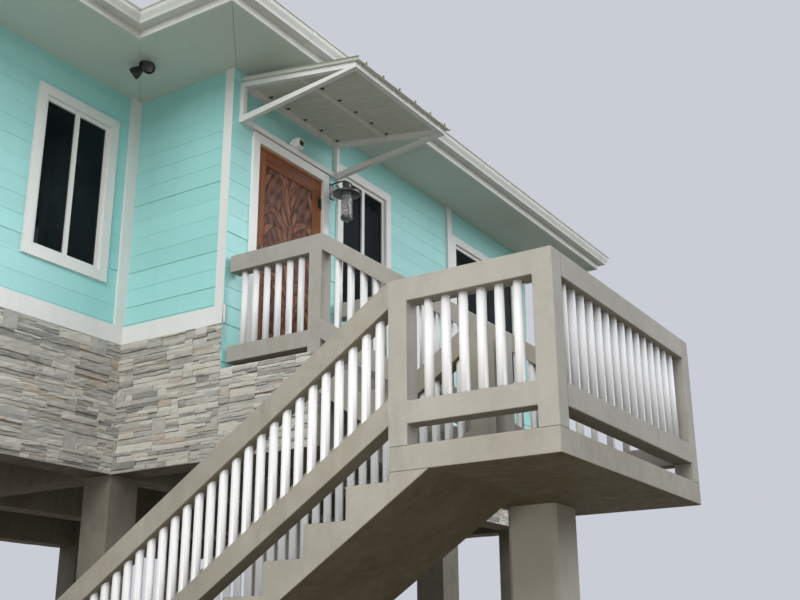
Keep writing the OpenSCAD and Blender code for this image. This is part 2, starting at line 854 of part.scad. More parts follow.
module porch_lantern() {
    foot = 40;
    hood_z = foot + lantern_glass_h;
    hood_h = 60;
    arm_z = hood_z + 65;
    arm_r = 12;
    color(METAL) placed() translate([lantern_x, -lantern_reach, floor_h + lantern_foot]) {
        translate([0, 0, foot]) cylinder(r = 45, h = lantern_glass_h);
        cylinder(r1 = 18, r2 = 55, h = foot);
        translate([0, 0, hood_z]) cylinder(r1 = hood_r, r2 = 50, h = hood_h);
        translate([0, 0, hood_z + hood_h]) cylinder(r = 30, h = 80);
        translate([0, lantern_reach, arm_z]) rotate([90, 0, 0]) {
            cylinder(r = arm_r, h = lantern_reach);
            cylinder(r = 55, h = 18);
        }
    }
}

module wall_lights() {
    sensor_z = floor_h + canopy_foot + tube_w + seat;
    lamp_h = 110;
    base_r = 50;
    color(WHITE) placed() {
        // Sensor light over the door
        block([sensor_x, sensor_x + sensor_w], [-sensor_d, 0], [sensor_z, sensor_z + sensor_h]);
        // Twin flood lamps under the soffit of the step
        translate([-lamp_out, lamp_y, soffit_z]) {
            translate([0, 0, -lamp_h / 2]) cylinder(r = base_r, h = lamp_h / 2);
            for (s = [-1, 1]) translate([0, s * lamp_spread, -lamp_h]) rotate([0, 20 * s, 0])
                cylinder(r1 = 1.2 * base_r, r2 = 0.8 * base_r, h = 0.9 * lamp_h);
        }
    }
}

module upper_landing() {
    rib = 200;
    color(CONCRETE) placed() difference() {
        block([0, landing_w], [-upper_landing_d, -stone_t], [beam_z, floor_h]);
        // Hollow between the landing's edge beams
        block([rib, landing_w - rib], [-upper_landing_d + rib, -stone_t - rib],
            [beam_z - 1, floor_h - floor_t]);
    }
}

module upper_flight() {
    steps = [for (k = [1 : upper_n - 1]) each [
        [-upper_landing_d - (k - 1) * upper_going, floor_h - k * upper_rise],
        [-upper_landing_d - k * upper_going, floor_h - k * upper_rise]
    ]];
    soffit = [
        [-upper_end, middle_h - landing_t],
        [-upper_landing_d, floor_h - upper_rise - landing_t]
    ];
    color(CONCRETE) placed() side_profile(0, upper_w, concat(steps, soffit));
}

module middle_landing() {
    z = [middle_h - landing_t, middle_h];
    color(CONCRETE) placed() {
        block([lower_x, upper_w], [-middle_front, -middle_edge], z);
        block([0, upper_w], [-middle_edge, -upper_end], z);
    }
}

module lower_flight() {
    slope = lower_rise / lower_going;
    steps = [for (k = [1 : lower_n - 1]) each [
        [-middle_edge + (k - 1) * lower_going, middle_h - k * lower_rise],
        [-middle_edge + k * lower_going, middle_h - k * lower_rise]
    ]];
    // The soffit starts under the landing and runs down to the ground
    top = middle_h - landing_t;
    under = middle_h - lower_rise - waist;
    kink = middle_edge + (top - under) / slope;
    ground = -middle_edge + under / slope;
    rest = [[lower_foot, 0], [ground, 0], [-kink, top], [-middle_edge, top]];
    color(CONCRETE) placed() side_profile(lower_x, inner_x, concat(steps, rest));
}

module landing_column() {
    w = landing_column_w;
    c = column_chamfer;
    y = -middle_edge - (post_w + w) / 2 - 50;
    color(CONCRETE) placed() translate([landing_column_x, y, 0])
        linear_extrude(middle_h - landing_t)
            polygon([[c, 0], [w - c, 0], [w, c], [w, w - c], [w - c, w], [c, w], [0, w - c], [0, c]]);
}

module post(x, y, z, h) {
    block([x, x + post_w], [y, y + post_w], [z, z + h]);
}

// Level rails between y0 and y1, at the x of a post
module level_rails(x, y0, y1, z, h, gap) {
    block([x, x + post_w], [y0, y1], [z + h - rail_d, z + h]);
    block([x, x + post_w], [y0, y1], [z + gap, z + gap + base_d]);
}

// Lines along the tops of the top rails and along the feet of the base rails, from the
// middle landing's posts to the far post of each flight
lower_post_y = lower_foot - post_w;
lower_post_z = middle_h - lower_rise / lower_going * (lower_post_y + middle_edge);
lower_line = [[-middle_edge, middle_h], [lower_post_y, lower_post_z]];
lower_lines = [raised(lower_line, rail_h), raised(lower_line, base_gap)];

// The upper flight's top rail starts at the outer top edge of its lower post
upper_slope = (drop + upper_rail_h - rail_h) / (middle_edge + post_w - upper_landing_d);
upper_line = [
    [-middle_edge, floor_h - upper_slope * (middle_edge - upper_landing_d)],
    [-upper_landing_d, floor_h]
];
upper_lines = [raised(upper_line, upper_rail_h), raised(upper_line, flight_base_gap)];

function raised(line, h) = [for (p = line) p + [0, h]];

// Upright depth of a rail of depth d along a sloping line
function upright(d, line) =
    d * norm(line[1] - line[0]) / abs(line[1][0] - line[0][0]);

module band_between(x, w, low, high) {
    side_profile(x, x + w, [low[0], low[1], high[1], high[0]]);
}

// Top and base rails along a pair of lines, with a top rail of upright depth d
module sloping_rails(x, lines, d) {
    base = lines[1];
    band_between(x, post_w, raised(lines[0], -d), lines[0]);
    band_between(x, post_w, base, raised(base, upright(base_d, base)));
}

// Round balusters between two rails, cut to the slope of the rails
module balusters(x, low, high, pitch) {
    y0 = low[0][0];
    run = low[1][0] - y0;
    n = floor(abs(run) / pitch);
    z0 = min(low[0][1], low[1][1]);
    z1 = max(high[0][1], high[1][1]);
    intersection() {
        for (k = [1 : n])
            translate([x + post_w / 2, y0 + k * run / (n + 1), z0])
                cylinder(d = baluster_d, h = z1 - z0);
        band_between(x, post_w, low, high);
    }
}

module level_balusters(x, y0, y1, z0, z1) {
    balusters(x, [[y0, z0], [y1, z0]], [[y0, z1], [y1, z1]], landing_pitch);
}

module sloping_balusters(x, lines, d, pitch) {
    base = lines[1];
    balusters(x, raised(base, upright(base_d, base)), raised(lines[0], -d), pitch);
}

module upper_landing_side(x) {
    post(x, -upper_landing_d, floor_h, upper_rail_h);
    level_rails(x, -upper_landing_d + post_w, -stone_t, floor_h, upper_rail_h, upper_base_gap);
}

// Level rails along X, between the x of two posts
module front_rails(x0, x1, y, z, h, gap) {
    block([x0, x1], [y, y + post_w], [z + h - rail_d, z + h]);
    block([x0, x1], [y, y + post_w], [z + gap, z + gap + base_d]);
}

module upper_landing_left_rail() {
    color(CONCRETE) placed() upper_landing_side(0);
}

// The right rail turns the corner of the landing and ends at the top of the flight
module upper_landing_right_rail() {
    color(CONCRETE) placed() {
        upper_landing_side(landing_w - post_w);
        post(upper_w - post_w, -upper_landing_d, floor_h, upper_rail_h);
        front_rails(upper_w, landing_w - post_w, -upper_landing_d, floor_h, upper_rail_h,
            upper_base_gap);
    }
}

// Rails of the upper flight and their lower post, whose top follows the slope
module upper_flight_side(x) {
    sloping_rails(x, upper_lines, rail_d);
    side_profile(x, x + post_w, [[-middle_edge - post_w, middle_h], [-middle_edge, middle_h],
        upper_lines[0][0], [-middle_edge - post_w, middle_h + rail_h]]);
}

module upper_flight_left_rail() {
    color(CONCRETE) placed() upper_flight_side(0);
}

module upper_flight_right_rail() {
    color(CONCRETE) placed() upper_flight_side(upper_w - post_w);
}

module middle_landing_side(x) {
    post(x, -middle_front, middle_h, rail_h);
    level_rails(x, -middle_front + post_w, -middle_edge - post_w, middle_h, rail_h, base_gap);
}

module middle_landing_left_rail() {
    color(CONCRETE) placed() {
        middle_landing_side(lower_x);
        post(lower_x, -middle_edge - post_w, middle_h, rail_h);
    }
}

module middle_landing_right_rail() {
    color(CONCRETE) placed() middle_landing_side(upper_w - post_w);
}

module middle_landing_front_rail() {
    color(CONCRETE) placed()
        front_rails(lower_x + post_w, upper_w - post_w, -middle_front, middle_h, rail_h, base_gap);
}

module lower_flight_side(x) {
    sloping_rails(x, lower_lines, upright(rail_d, lower_line));
    block([x, x + post_w], [lower_post_y, lower_foot], [lower_rise, lower_post_z + rail_h]);
}

module lower_flight_outer_rail() {
    color(CONCRETE) placed() lower_flight_side(lower_x);
}

module lower_flight_inner_rail() {
    color(CONCRETE) placed() {
        lower_flight_side(inner_x - post_w);
        post(inner_x - post_w, -middle_edge - post_w, middle_h, rail_h);
    }
}

// A row of level balusters along X, between the x of two posts
module front_balusters(x0, x1, y, z0, z1) {
    translate([0, y + post_w, 0]) rotate([0, 0, -90]) level_balusters(0, x0, x1, z0, z1);
}

module landing_balusters() {
    color(WHITE) placed() {
        a0 = floor_h + upper_base_gap + base_d;
        a1 = floor_h + upper_rail_h - rail_d;
        for (x = [0, landing_w - post_w])
            level_balusters(x, -upper_landing_d + post_w, -stone_t, a0, a1);
        front_balusters(upper_w, landing_w - post_w, -upper_landing_d, a0, a1);
        b0 = middle_h + base_gap + base_d;
        b1 = middle_h + rail_h - rail_d;
        for (x = [lower_x, upper_w - post_w])
            level_balusters(x, -middle_front + post_w, -middle_edge - post_w, b0, b1);
        front_balusters(lower_x + post_w, upper_w - post_w, -middle_front, b0, b1);
    }
}

module flight_balusters() {
    color(WHITE) placed() {
        for (x = [lower_x, inner_x - post_w])
            sloping_balusters(x, lower_lines, upright(rail_d, lower_line), flight_pitch);
        for (x = [0, upper_w - post_w]) sloping_balusters(x, upper_lines, rail_d, landing_pitch);
    }
}

floor_slab();
floor_beams();
columns();
stone_band();
front_wall_corner();
front_wall_over_door();
front_wall_long();
step_wall();
wing_front_wall();
wing_side_wall();
back_wall();
far_side_wall();
wall_trim();
window_frames();
window_glass();
door_casing();
door_jamb();
door_hinges();
door_leaf();
door_hardware();
soffit();
fascia();
gutter();
main_roof();
wing_roof();
canopy_frame();
canopy_sheet();
porch_lantern();
wall_lights();
upper_landing();
upper_flight();
middle_landing();
lower_flight();
landing_column();
upper_landing_left_rail();
upper_landing_right_rail();
upper_flight_left_rail();
upper_flight_right_rail();
middle_landing_left_rail();
middle_landing_front_rail();
middle_landing_right_rail();
lower_flight_outer_rail();
lower_flight_inner_rail();
landing_balusters();
flight_balusters();
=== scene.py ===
"""Looks of the stilt house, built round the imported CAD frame.

Lengths are in metres. Pieces are made in house coordinates: x runs along the door wall, y into
the house, and x = y = 0 is the corner of the front block nearest the foot of the stair.
"""
import math
import random

import bmesh
import bpy
import numpy as np
from mathutils import Matrix, Vector
from mathutils.bvhtree import BVHTree


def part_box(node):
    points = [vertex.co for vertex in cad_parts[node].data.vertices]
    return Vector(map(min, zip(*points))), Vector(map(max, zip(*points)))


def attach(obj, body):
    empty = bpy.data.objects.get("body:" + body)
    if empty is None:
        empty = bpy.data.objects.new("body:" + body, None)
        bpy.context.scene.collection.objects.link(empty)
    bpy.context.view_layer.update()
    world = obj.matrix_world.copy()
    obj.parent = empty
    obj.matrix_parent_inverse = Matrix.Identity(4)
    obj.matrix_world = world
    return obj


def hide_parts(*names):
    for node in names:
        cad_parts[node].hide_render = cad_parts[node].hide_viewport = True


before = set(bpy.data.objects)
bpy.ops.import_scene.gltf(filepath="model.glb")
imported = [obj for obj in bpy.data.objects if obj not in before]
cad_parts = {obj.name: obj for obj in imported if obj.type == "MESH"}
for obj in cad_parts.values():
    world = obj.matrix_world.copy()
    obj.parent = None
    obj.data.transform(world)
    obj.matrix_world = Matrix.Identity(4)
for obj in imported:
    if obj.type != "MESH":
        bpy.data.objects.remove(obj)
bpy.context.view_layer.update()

# Sizes taken from the frame

CORNER = Vector((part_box("upper_landing")[0].x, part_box("front_wall_long")[0].y, 0))


def house_box(node):
    """Lowest and highest corner of a CAD node in house coordinates."""
    low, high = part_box(node)
    return low - CORNER, high - CORNER


FLOOR_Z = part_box("floor_slab")[1].z
BEAM_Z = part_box("floor_beams")[0].z
SOFFIT_Z, ROOF_Z = (p.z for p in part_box("soffit"))
BLOCK_L = house_box("front_wall_long")[1].x
HOUSE_D = house_box("back_wall")[1].y
WING_L = -house_box("wing_front_wall")[0].x
STEP_D = house_box("wing_front_wall")[0].y
OVER_SIDE = house_box("soffit")[1].x - BLOCK_L
OVER_FRONT = -house_box("soffit")[0].y
FASCIA_T = house_box("fascia")[1].x - BLOCK_L - OVER_SIDE
FASCIA_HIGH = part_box("fascia")[1].z
RIM = house_box("gutter")[1].x - BLOCK_L - OVER_SIDE
LANDING_LOW, LANDING_HIGH = house_box("upper_landing")

# Sizes of the looks

STONE_T = 0.030
STONE_UP = 0.370
STONE_DEPTH = (0.016, 0.036)
STONE_WIDTH = (0.12, 0.42)
STONE_STEP = 0.05
STONE_GAP = 0.001
STONE_ROUND = 0.003
STONE_ROUGH = 0.004
STONE_WAVE = 0.001
COURSE_H = 0.135
BASE_BOARD_H = 0.150
BOARD_EXPOSURE = 0.1537
BOARD_LINES = (0.063, 0.388)
BOARD_BUTT = (0.0034, 0.0054)
BOARD_GAP = 0.009
BOARD_GAP_SHARE = 0.2
BOARD_TOP = 0.002
BOARD_STOCK = 3.6
JOINT_SHARE = (0.3, 0.7)
JOINT_MARGIN = 0.2
JOINT_HALF = 0.001
TRIM_T = 0.028
CASING_LAP = 0.015
BALUSTER_TUCK = 0.004
GASKET_W = 0.007
GASKET_T = 0.005
ROOF_SLOPE = math.tan(math.radians(22))
ROOF_GROW = 0.05
ROOF_EDGE = 0.025
ROOF_SHEET_T = 0.03
RIB_PITCH = 0.400
RIB_END = 0.05
RIB_SUNK = 0.006
CAP_HALF = 0.14
CAP_LIFT = 0.026
CAP_T = 0.012
GUTTER_T = 0.003
COUPLER_T = 0.004
COUPLER_HALF = 0.03
COUPLER_PITCH = 1.9
SOFFIT_BOARD = 1.15
SEAM = 0.0035
TOUCH = 0.0015
WALL_REACH = 0.3
SLOPE_STEP = 0.01

# Mesh helpers


def circle(centre, turn, radius, height, sides, flutes=0):
    """Ring of points over centre, turned by a rotation. flutes ripples it."""
    ring = []
    for a in (2 * math.pi * k / sides for k in range(sides)):
        r = radius * (1 + 0.025 * math.cos(flutes * a)) if flutes else radius
        ring.append(Vector(centre) + turn @ Vector((r * math.cos(a), r * math.sin(a), height)))
    return ring


class Shape:
    """Vertices and faces of a piece, in house coordinates."""

    def __init__(self):
        self.verts, self.faces = [], []

    def loft(self, rings, caps=True):
        """Skins closed rings of equal length."""
        n = len(rings[0])
        last = (len(rings) - 1) * n
        faces = [(r + k, r + (k + 1) % n, r + (k + 1) % n + n, r + k + n)
                 for r in range(0, last, n) for k in range(n)]
        if caps:
            faces += [tuple(reversed(range(n))), tuple(range(last, last + n))]
        base = len(self.verts)
        self.verts += [Vector(p) for ring in rings for p in ring]
        self.faces += [tuple(base + i for i in face) for face in faces]

    def box(self, low, high):
        (x0, y0, z0), (x1, y1, z1) = low, high
        self.loft([[(x, y0, z0), (x, y1, z0), (x, y1, z1), (x, y0, z1)] for x in (x0, x1)])

    def turn(self, profile, centre, sides=32, flutes=0, axis=(0, 0, 1)):
        """Revolves (radius, height) points about an axis through centre."""
        turn = Vector(axis).to_track_quat("Z", "Y")
        self.loft([circle(centre, turn, r, z, sides, flutes) for r, z in profile])

    def tube(self, path, radius, sides):
        """Round bar along a list of points."""
        points = [Vector(p) for p in path]
        rings = []
        for i, p in enumerate(points):
            ahead = points[min(i + 1, len(points) - 1)] - points[max(i - 1, 0)]
            rings.append(circle(p, ahead.to_track_quat("Z", "Y"), radius, 0.0, sides))
        self.loft(rings)

    def piece(self, name, material, slot, body="house", smooth=None, bevel=None, replaces=()):
        mesh = bpy.data.meshes.new(name)
        mesh.from_pydata([tuple(v + CORNER) for v in self.verts], [], self.faces)
        tidy_mesh(mesh, bevel, smooth)
        register(name, mesh, material, body, replaces)


def blocks(name, material, slot, boxes, **options):
    """Piece made of boxes, each given as its lowest and highest corner."""
    shape = Shape()
    for low, high in boxes:
        shape.box(low, high)
    shape.piece(name, material, slot, **options)


def joined(edge, trees):
    """Whether most of an edge lies on another piece."""
    a, b = (v.co for v in edge.verts)
    hits = sum(any(t.find_nearest(a.lerp(b, k), TOUCH)[0] for t in trees)
               for k in (0.15, 0.5, 0.85))
    return hits > 1


def tidy_mesh(mesh, bevel=None, smooth=None, trees=()):
    """Turns normals outward, rounds sharp edges by bevel and smooths faces under an angle.
    Edges that lie on the pieces in trees stay sharp."""
    bm = bmesh.new()
    bm.from_mesh(mesh)
    if bevel:
        bmesh.ops.remove_doubles(bm, verts=bm.verts, dist=1e-5)
        bmesh.ops.dissolve_limit(bm, angle_limit=0.01, verts=bm.verts, edges=bm.edges)
        sharp = [e for e in bm.edges if e.is_manifold and e.calc_face_angle(0) > 0.4
                 and not joined(e, trees)]
        for face in bm.faces:
            face.smooth = False
        made = bmesh.ops.bevel(bm, geom=sharp, offset=bevel, segments=2, profile=0.5,
                               affect="EDGES", clamp_overlap=True)
        for face in made["faces"]:
            face.smooth = True
    bmesh.ops.recalc_face_normals(bm, faces=bm.faces)
    bm.to_mesh(mesh)
    bm.free()
    if smooth:
        mesh.shade_smooth()
        mesh.set_sharp_from_angle(angle=math.radians(smooth))


def keep_flats(mesh):
    """Shades flat faces flat and the rounded edges between them round."""
    around = [[] for _ in mesh.vertices]
    for face in mesh.polygons:
        for v in face.vertices:
            around[v].append(face)
    normals = []
    for face in mesh.polygons:
        for v in face.vertices:
            total = face.normal.copy()
            if face.use_smooth:
                near = [f for f in around[v] if f.normal.dot(face.normal) > 0.6]
                near = [f for f in near if not f.use_smooth] or near
                for other in near:
                    total += other.normal * 1000
            normals.append(total.normalized())
    mesh.shade_smooth()
    mesh.normals_split_custom_set(normals)


def add_object(name, data):
    obj = bpy.data.objects.new(name, data)
    bpy.context.scene.collection.objects.link(obj)
    return obj


def register(name, mesh, material, body="house", replaces=()):
    mesh.materials.append(MATERIALS[material])
    obj = add_object(name, mesh)
    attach(obj, body)
    if replaces:
        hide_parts(*replaces)


def node_mesh(node, name):
    """Copy of a CAD node's mesh without its materials."""
    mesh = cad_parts[node].data.copy()
    mesh.name = name
    mesh.materials.clear()
    return mesh


def worn_copy(node, material, edge):
    """Copy of a CAD node with its edges rounded, which stands for that node."""
    mesh = node_mesh(node, "worn_" + node)
    tidy_mesh(mesh, bevel=edge, trees=[tree for n, tree in TREES.items() if n != node])
    keep_flats(mesh)
    register("worn_" + node, mesh, material, "house", (node,))


def welded(mesh):
    """Editable mesh in which doubled points are one."""
    bm = bmesh.new()
    bm.from_mesh(mesh)
    bmesh.ops.remove_doubles(bm, verts=bm.verts, dist=1e-5)
    return bm


def loose_parts(bm):
    """Lists of the connected vertices of a mesh."""
    left = set(bm.verts)
    parts = []
    while left:
        part = [left.pop()]
        for v in part:
            met = {w for edge in v.link_edges for w in edge.verts} & left
            left -= met
            part += met
        parts.append(part)
    return parts


def islands(node):
    """Boxes of the loose parts of a CAD node, in house coordinates."""
    bm = welded(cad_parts[node].data)
    boxes = []
    for part in loose_parts(bm):
        co = np.array([v.co - CORNER for v in part])
        boxes.append((Vector(co.min(0)), Vector(co.max(0))))
    bm.free()
    return sorted(boxes, key=lambda b: tuple(round(c, 3) for c in (*b[0], *b[1])))


def full_balusters(node, foot, top, below=math.inf):
    """Copy of a node of balusters, widened by foot at their feet and by top at their tops.
    Balusters that start above the height below keep their width."""
    mesh = node_mesh(node, "full_" + node)
    bm = welded(mesh)
    for part in loose_parts(bm):
        co = np.array([v.co for v in part])
        low, high = co.min(0), co.max(0)
        for v in part:
            share = (v.co.z - low[2]) / (high[2] - low[2])
            grow = foot + (top - foot) * share if low[2] < below else 1.0
            for axis in (0, 1):
                middle = (low[axis] + high[axis]) / 2
                v.co[axis] = middle + (v.co[axis] - middle) * grow
            v.co.z += BALUSTER_TUCK if share > 0.5 else -BALUSTER_TUCK
    bm.to_mesh(mesh)
    bm.free()
    mesh.shade_smooth()
    mesh.set_sharp_from_angle(angle=math.radians(40))
    register("full_" + node, mesh, "baluster_paint", "house", (node,))


# Walls of the plan


def plan(side, front):
    """Corners of the house, grown by front on the door wall and by side on the others."""
    right, back, left, step = BLOCK_L + side, HOUSE_D + side, -WING_L - side, STEP_D - side
    return [Vector(p) for p in ((-side, -front), (right, -front), (right, back), (left, back),
                                (left, step), (-side, step))]


SIDES = range(6)
CORNERS = plan(0, 0)
EDGES = [CORNERS[(i + 1) % 6] - CORNERS[i] for i in SIDES]
LENGTH = [edge.length for edge in EDGES]
ALONG = [edge.normalized() for edge in EDGES]
OUT = [Vector((a.y, -a.x)) for a in ALONG]


def on_wall(i, s, out, z):
    """Point on side i of the plan: s along the wall, out in front of it, at height z."""
    p = CORNERS[i] + ALONG[i] * s + OUT[i] * out
    return Vector((p.x, p.y, z))


def wall_span(i, box):
    """Span along side i of a box, or None where the box isn't at that wall."""
    low, high = box
    middle = (low + high).to_2d() / 2
    away = (middle - CORNERS[i]).dot(OUT[i])
    at = (middle - CORNERS[i]).dot(ALONG[i])
    if abs(away) > WALL_REACH or not 0 < at < LENGTH[i]:
        return None
    half = abs((high - low).to_2d().dot(ALONG[i])) / 2
    return at - half, at + half


# Materials

MATERIALS = {}
# Brown of the painted shade on faces that look down
SHADE_BROWN = (0.100, 0.075, 0.035)


class Nodes:
    """Short forms for building one material's node tree."""

    def __init__(self, name, roughness, **values):
        self.mat = MATERIALS[name] = bpy.data.materials.new(name)
        self.mat.use_nodes = True
        self.tree = self.mat.node_tree
        self.bsdf = self.tree.nodes["Principled BSDF"]
        self.fill(self.bsdf, Roughness=roughness, **values)
        self.coords = self.new("TexCoord", "Object")

    def put(self, socket, value):
        """Links an input to value where that is a socket, or else sets it."""
        if isinstance(value, bpy.types.NodeSocket):
            self.tree.links.new(value, socket)
        else:
            socket.default_value = value

    def fill(self, node, **values):
        for key, value in values.items():
            self.put(node.inputs[key.replace("_", " ")], value)

    def new(self, kind, output, **values):
        """Adds a node, fills the inputs named and gives one of its outputs."""
        node = self.tree.nodes.new("ShaderNode" + kind)
        self.fill(node, **values)
        return node.outputs[output]

    def noise(self, scale, detail=4, rough=0.55, stretch=(1, 1, 1)):
        return self.new("TexNoise", "Fac", Scale=scale, Detail=detail, Roughness=rough,
                        Vector=self.new("Mapping", "Vector", Scale=stretch, Vector=self.coords))

    def island(self):
        return self.new("NewGeometry", "Random Per Island")

    def normal_z(self):
        return self.new("SeparateXYZ", "Z", Vector=self.new("NewGeometry", "Normal"))

    def between(self, value, low, high):
        """Maps value from low to high onto 0 to 1."""
        return self.new("MapRange", "Result", Value=value, From_Min=low, From_Max=high)

    def ramp(self, value, *stops, steps=False):
        """Colour ramp. Each stop is (place, grey or colour)."""
        node = self.tree.nodes.new("ShaderNodeValToRGB")
        ramp = node.color_ramp
        ramp.interpolation = "CONSTANT" if steps else "LINEAR"
        while len(ramp.elements) < len(stops):
            ramp.elements.new(0.5)
        for element, (place, colour) in zip(ramp.elements, stops):
            element.position = place
            element.color = rgba(colour)
        self.fill(node, Fac=value)
        return node.outputs["Color"]

    def mix(self, factor, a, b, mode="MIX"):
        node = self.tree.nodes.new("ShaderNodeMix")
        node.data_type = "RGBA"
        node.blend_type = mode
        self.fill(node, Factor=factor)
        self.put(node.inputs[6], rgba(a))
        self.put(node.inputs[7], rgba(b))
        return node.outputs[2]

    def math(self, operation, a, b):
        node = self.tree.nodes.new("ShaderNodeMath")
        node.operation = operation
        self.put(node.inputs[0], a)
        self.put(node.inputs[1], b)
        return node.outputs[0]

    def layers(self, base, *rows):
        """Lays colours over base. Each row is a colour, the noise levels at which it begins and
        is full, how much it covers there and the values of the noise."""
        for colour, low, high, amount, *noise in rows:
            cover = self.ramp(self.noise(*noise), (low, 0.0), (high, amount))
            base = self.mix(cover, base, colour)
        return base

    def underside_shade(self, base, amount):
        """Painted shade on faces that look down: they darken toward a brown, in mottled patches.
        """
        down = self.between(self.normal_z(), -0.2, -0.75)
        cloud = self.ramp(self.noise(3.0, 5, 0.65), (0.3, 0.8 * amount), (0.7, amount))
        return self.mix(self.math("MULTIPLY", down, cloud), base, SHADE_BROWN)

    def bump(self, distance, strength, height):
        normal = self.bsdf.inputs["Normal"]
        before = {"Normal": normal.links[0].from_socket} if normal.is_linked else {}
        self.put(normal, self.new("Bump", "Normal", Height=height, Distance=distance,
                                  Strength=strength, **before))

    def finish(self, colour, low, high, *noise, at=(0.3, 0.7)):
        """Sets the colour and a roughness that runs from low to high with a noise."""
        self.fill(self.bsdf, Base_Color=colour)
        self.fill(self.bsdf, Roughness=self.ramp(self.noise(*noise), (at[0], low), (at[1], high)))


def rgba(colour):
    """Grey or colour as the value of a socket. A socket stays as it is."""
    if isinstance(colour, (int, float)):
        return (colour, colour, colour, 1)
    return (*colour, 1) if isinstance(colour, tuple) else colour


def tone(colour, factor):
    return tuple(min(1, c * factor) for c in colour)


def paint(name, colour, dirt, streak, roughness, grain=0.0, per_board=0.0, under=0.0):
    """House paint with broad fading, upright rain streaks and a little dirt."""
    n = Nodes(name, roughness)
    base = n.layers(tone(colour, 0.95), (colour, 0.3, 0.7, 1.0, 1.3, 3))
    if per_board:
        shade = n.ramp(n.island(), (0.0, 1 - per_board), (1.0, 1.0))
        base = n.mix(1.0, base, shade, "MULTIPLY")
    base = n.layers(base, (tone(colour, 0.62), 0.50, 0.78, streak, 7, 5, 0.6, (1, 1, 0.07)),
                    ((0.26, 0.24, 0.20), 0.60, 0.80, dirt, 38, 6, 0.7))
    # Painted shade on faces that look down, as strong as under
    if under:
        base = n.underside_shade(base, under)
    if grain:
        n.bump(0.0006, grain, n.noise(30, 5, 0.6, (0.15, 0.15, 4)))
    n.bump(0.0003, 0.35, n.noise(160, 2))
    n.finish(base, roughness - 0.08, roughness + 0.12, 24, 4)


def concrete(name, light, dark, stains, under):
    """Painted cement, mottled and pitted, with stains that run down and painted shade below."""
    n = Nodes(name, 0.82, IOR=1.25)
    brown = (dark[0] * 1.02, dark[1] * 0.90, dark[2] * 0.72)
    base = n.layers(
        dark, (light, 0.32, 0.68, 1.0, 1.6, 7, 0.68),
        (tone(dark, 0.74), 0.48, 0.74, stains, 6.5, 6, 0.7, (1, 1, 0.45)),
        (tone(dark, 0.62), 0.56, 0.80, 0.6 * stains, 5.5, 4, 0.6, (1, 1, 0.12)),
        (tone(light, 1.12), 0.56, 0.76, 0.30, 11, 5, 0.7),
        (brown, 0.56, 0.74, 0.8 * stains, 2.6, 5, 0.6, (1, 1, 0.5)),
        ((0.13, 0.125, 0.10), 0.62, 0.76, 0.45 * stains, 45, 6, 0.75))
    top = n.ramp(n.normal_z(), (0.55, 0.0), (0.95, 0.35))
    # Painted shade on faces that look down
    base = n.underside_shade(n.mix(top, base, tone(dark, 0.75)), under)
    n.bump(0.003, 0.30, n.noise(7, 3))
    n.bump(0.0009, 0.40, n.noise(85, 5, 0.6))
    pits = n.new("TexVoronoi", "Distance", Vector=n.coords, Scale=60)
    n.bump(0.0009, 0.22, n.ramp(pits, (0.0, 0.0), (0.16, 1.0)))
    n.finish(base, 0.62, 0.88, 17, 4)


def varnished_wood(name, light, dark, roughness=0.32, grain=(1, 1, 0.06), carved=False):
    """Varnished boards. grain scales their noise by axis, and carved paints shade into what lies
    deep and a highlight onto what stands high.
    """
    n = Nodes(name, roughness, IOR=1.18)
    base = n.layers(dark, (light, 0.32, 0.68, 1.0, 26, 6, 0.6, grain),
                    (tone(dark, 0.5), 0.5, 0.8, 0.5, 190, 4, 0.6, grain),
                    (tone(light, 1.25), 0.35, 0.7, 0.35, 4, 3))
    if carved:
        place = n.new("SeparateXYZ", "Y", Vector=n.coords)
        depth = n.between(place, CARVE_TOP + CORNER.y, CARVE_GROUND + CORNER.y)
        # Painted shade, darker the deeper the carving lies
        base = n.mix(n.ramp(depth, (0.35, 0.0), (0.85, 0.45), (1.0, 0.90)), base,
                     tone(dark, 0.22))
        # Painted highlight on the raised parts of the carving
        base = n.mix(n.ramp(depth, (0.05, 0.55), (0.40, 0.0)), base, tone(light, 1.55))
    n.bump(0.0006, 0.4, n.noise(26, 6, 0.6, grain))
    n.finish(base, roughness - 0.07, roughness + 0.15, 12)


def metal(name, colour, roughness, metallic, wear=0.4):
    n = Nodes(name, roughness, Metallic=metallic)
    n.bump(0.0003, 0.4, n.noise(220, 3))
    n.finish(n.layers(colour, (tone(colour, 0.5), 0.45, 0.75, wear, 60, 5, 0.7)),
             roughness - 0.1, roughness + 0.15, 45)


# Depths of the door's carving behind the outer face of its leaf
CARVE_GROUND = 0.013
CARVE_TOP = -0.002

MINT = (0.352, 0.692, 0.668)
WHITE = (0.740, 0.735, 0.715)
# under sets how strong the painted shade is on faces that look down
paint("siding_paint", MINT, 0.10, 0.14, 0.42, grain=0.5, per_board=0.07)
paint("trim_paint", WHITE, 0.22, 0.20, 0.42, grain=0.25)
paint("bracket_paint", WHITE, 0.30, 0.20, 0.42, under=0.2)
paint("eave_paint", (0.60, 0.61, 0.57), 0.30, 0.35, 0.40)
paint("canopy_paint", (0.54, 0.545, 0.485), 0.25, 0.10, 0.50, under=0.10)
# The soffit colour holds painted light: it is lightened and tinted green for light thrown up from
# the ground and the mint walls
paint("soffit_paint", (0.53, 0.58, 0.52), 0.20, 0.0, 0.6)
paint("baluster_paint", (0.80, 0.80, 0.80), 0.20, 0.20, 0.5)
paint("roof_paint", (0.56, 0.57, 0.55), 0.4, 0.4, 0.38)
paint("bulb_glass", (0.80, 0.78, 0.70), 0.05, 0.0, 0.2)
paint("white_plastic", (0.78, 0.78, 0.77), 0.12, 0.05, 0.38)
concrete("rail_concrete", (0.390, 0.373, 0.334), (0.328, 0.311, 0.273), 0.40, 0.5)
concrete("slab_concrete", (0.365, 0.345, 0.298), (0.295, 0.275, 0.232), 0.45, 1.0)
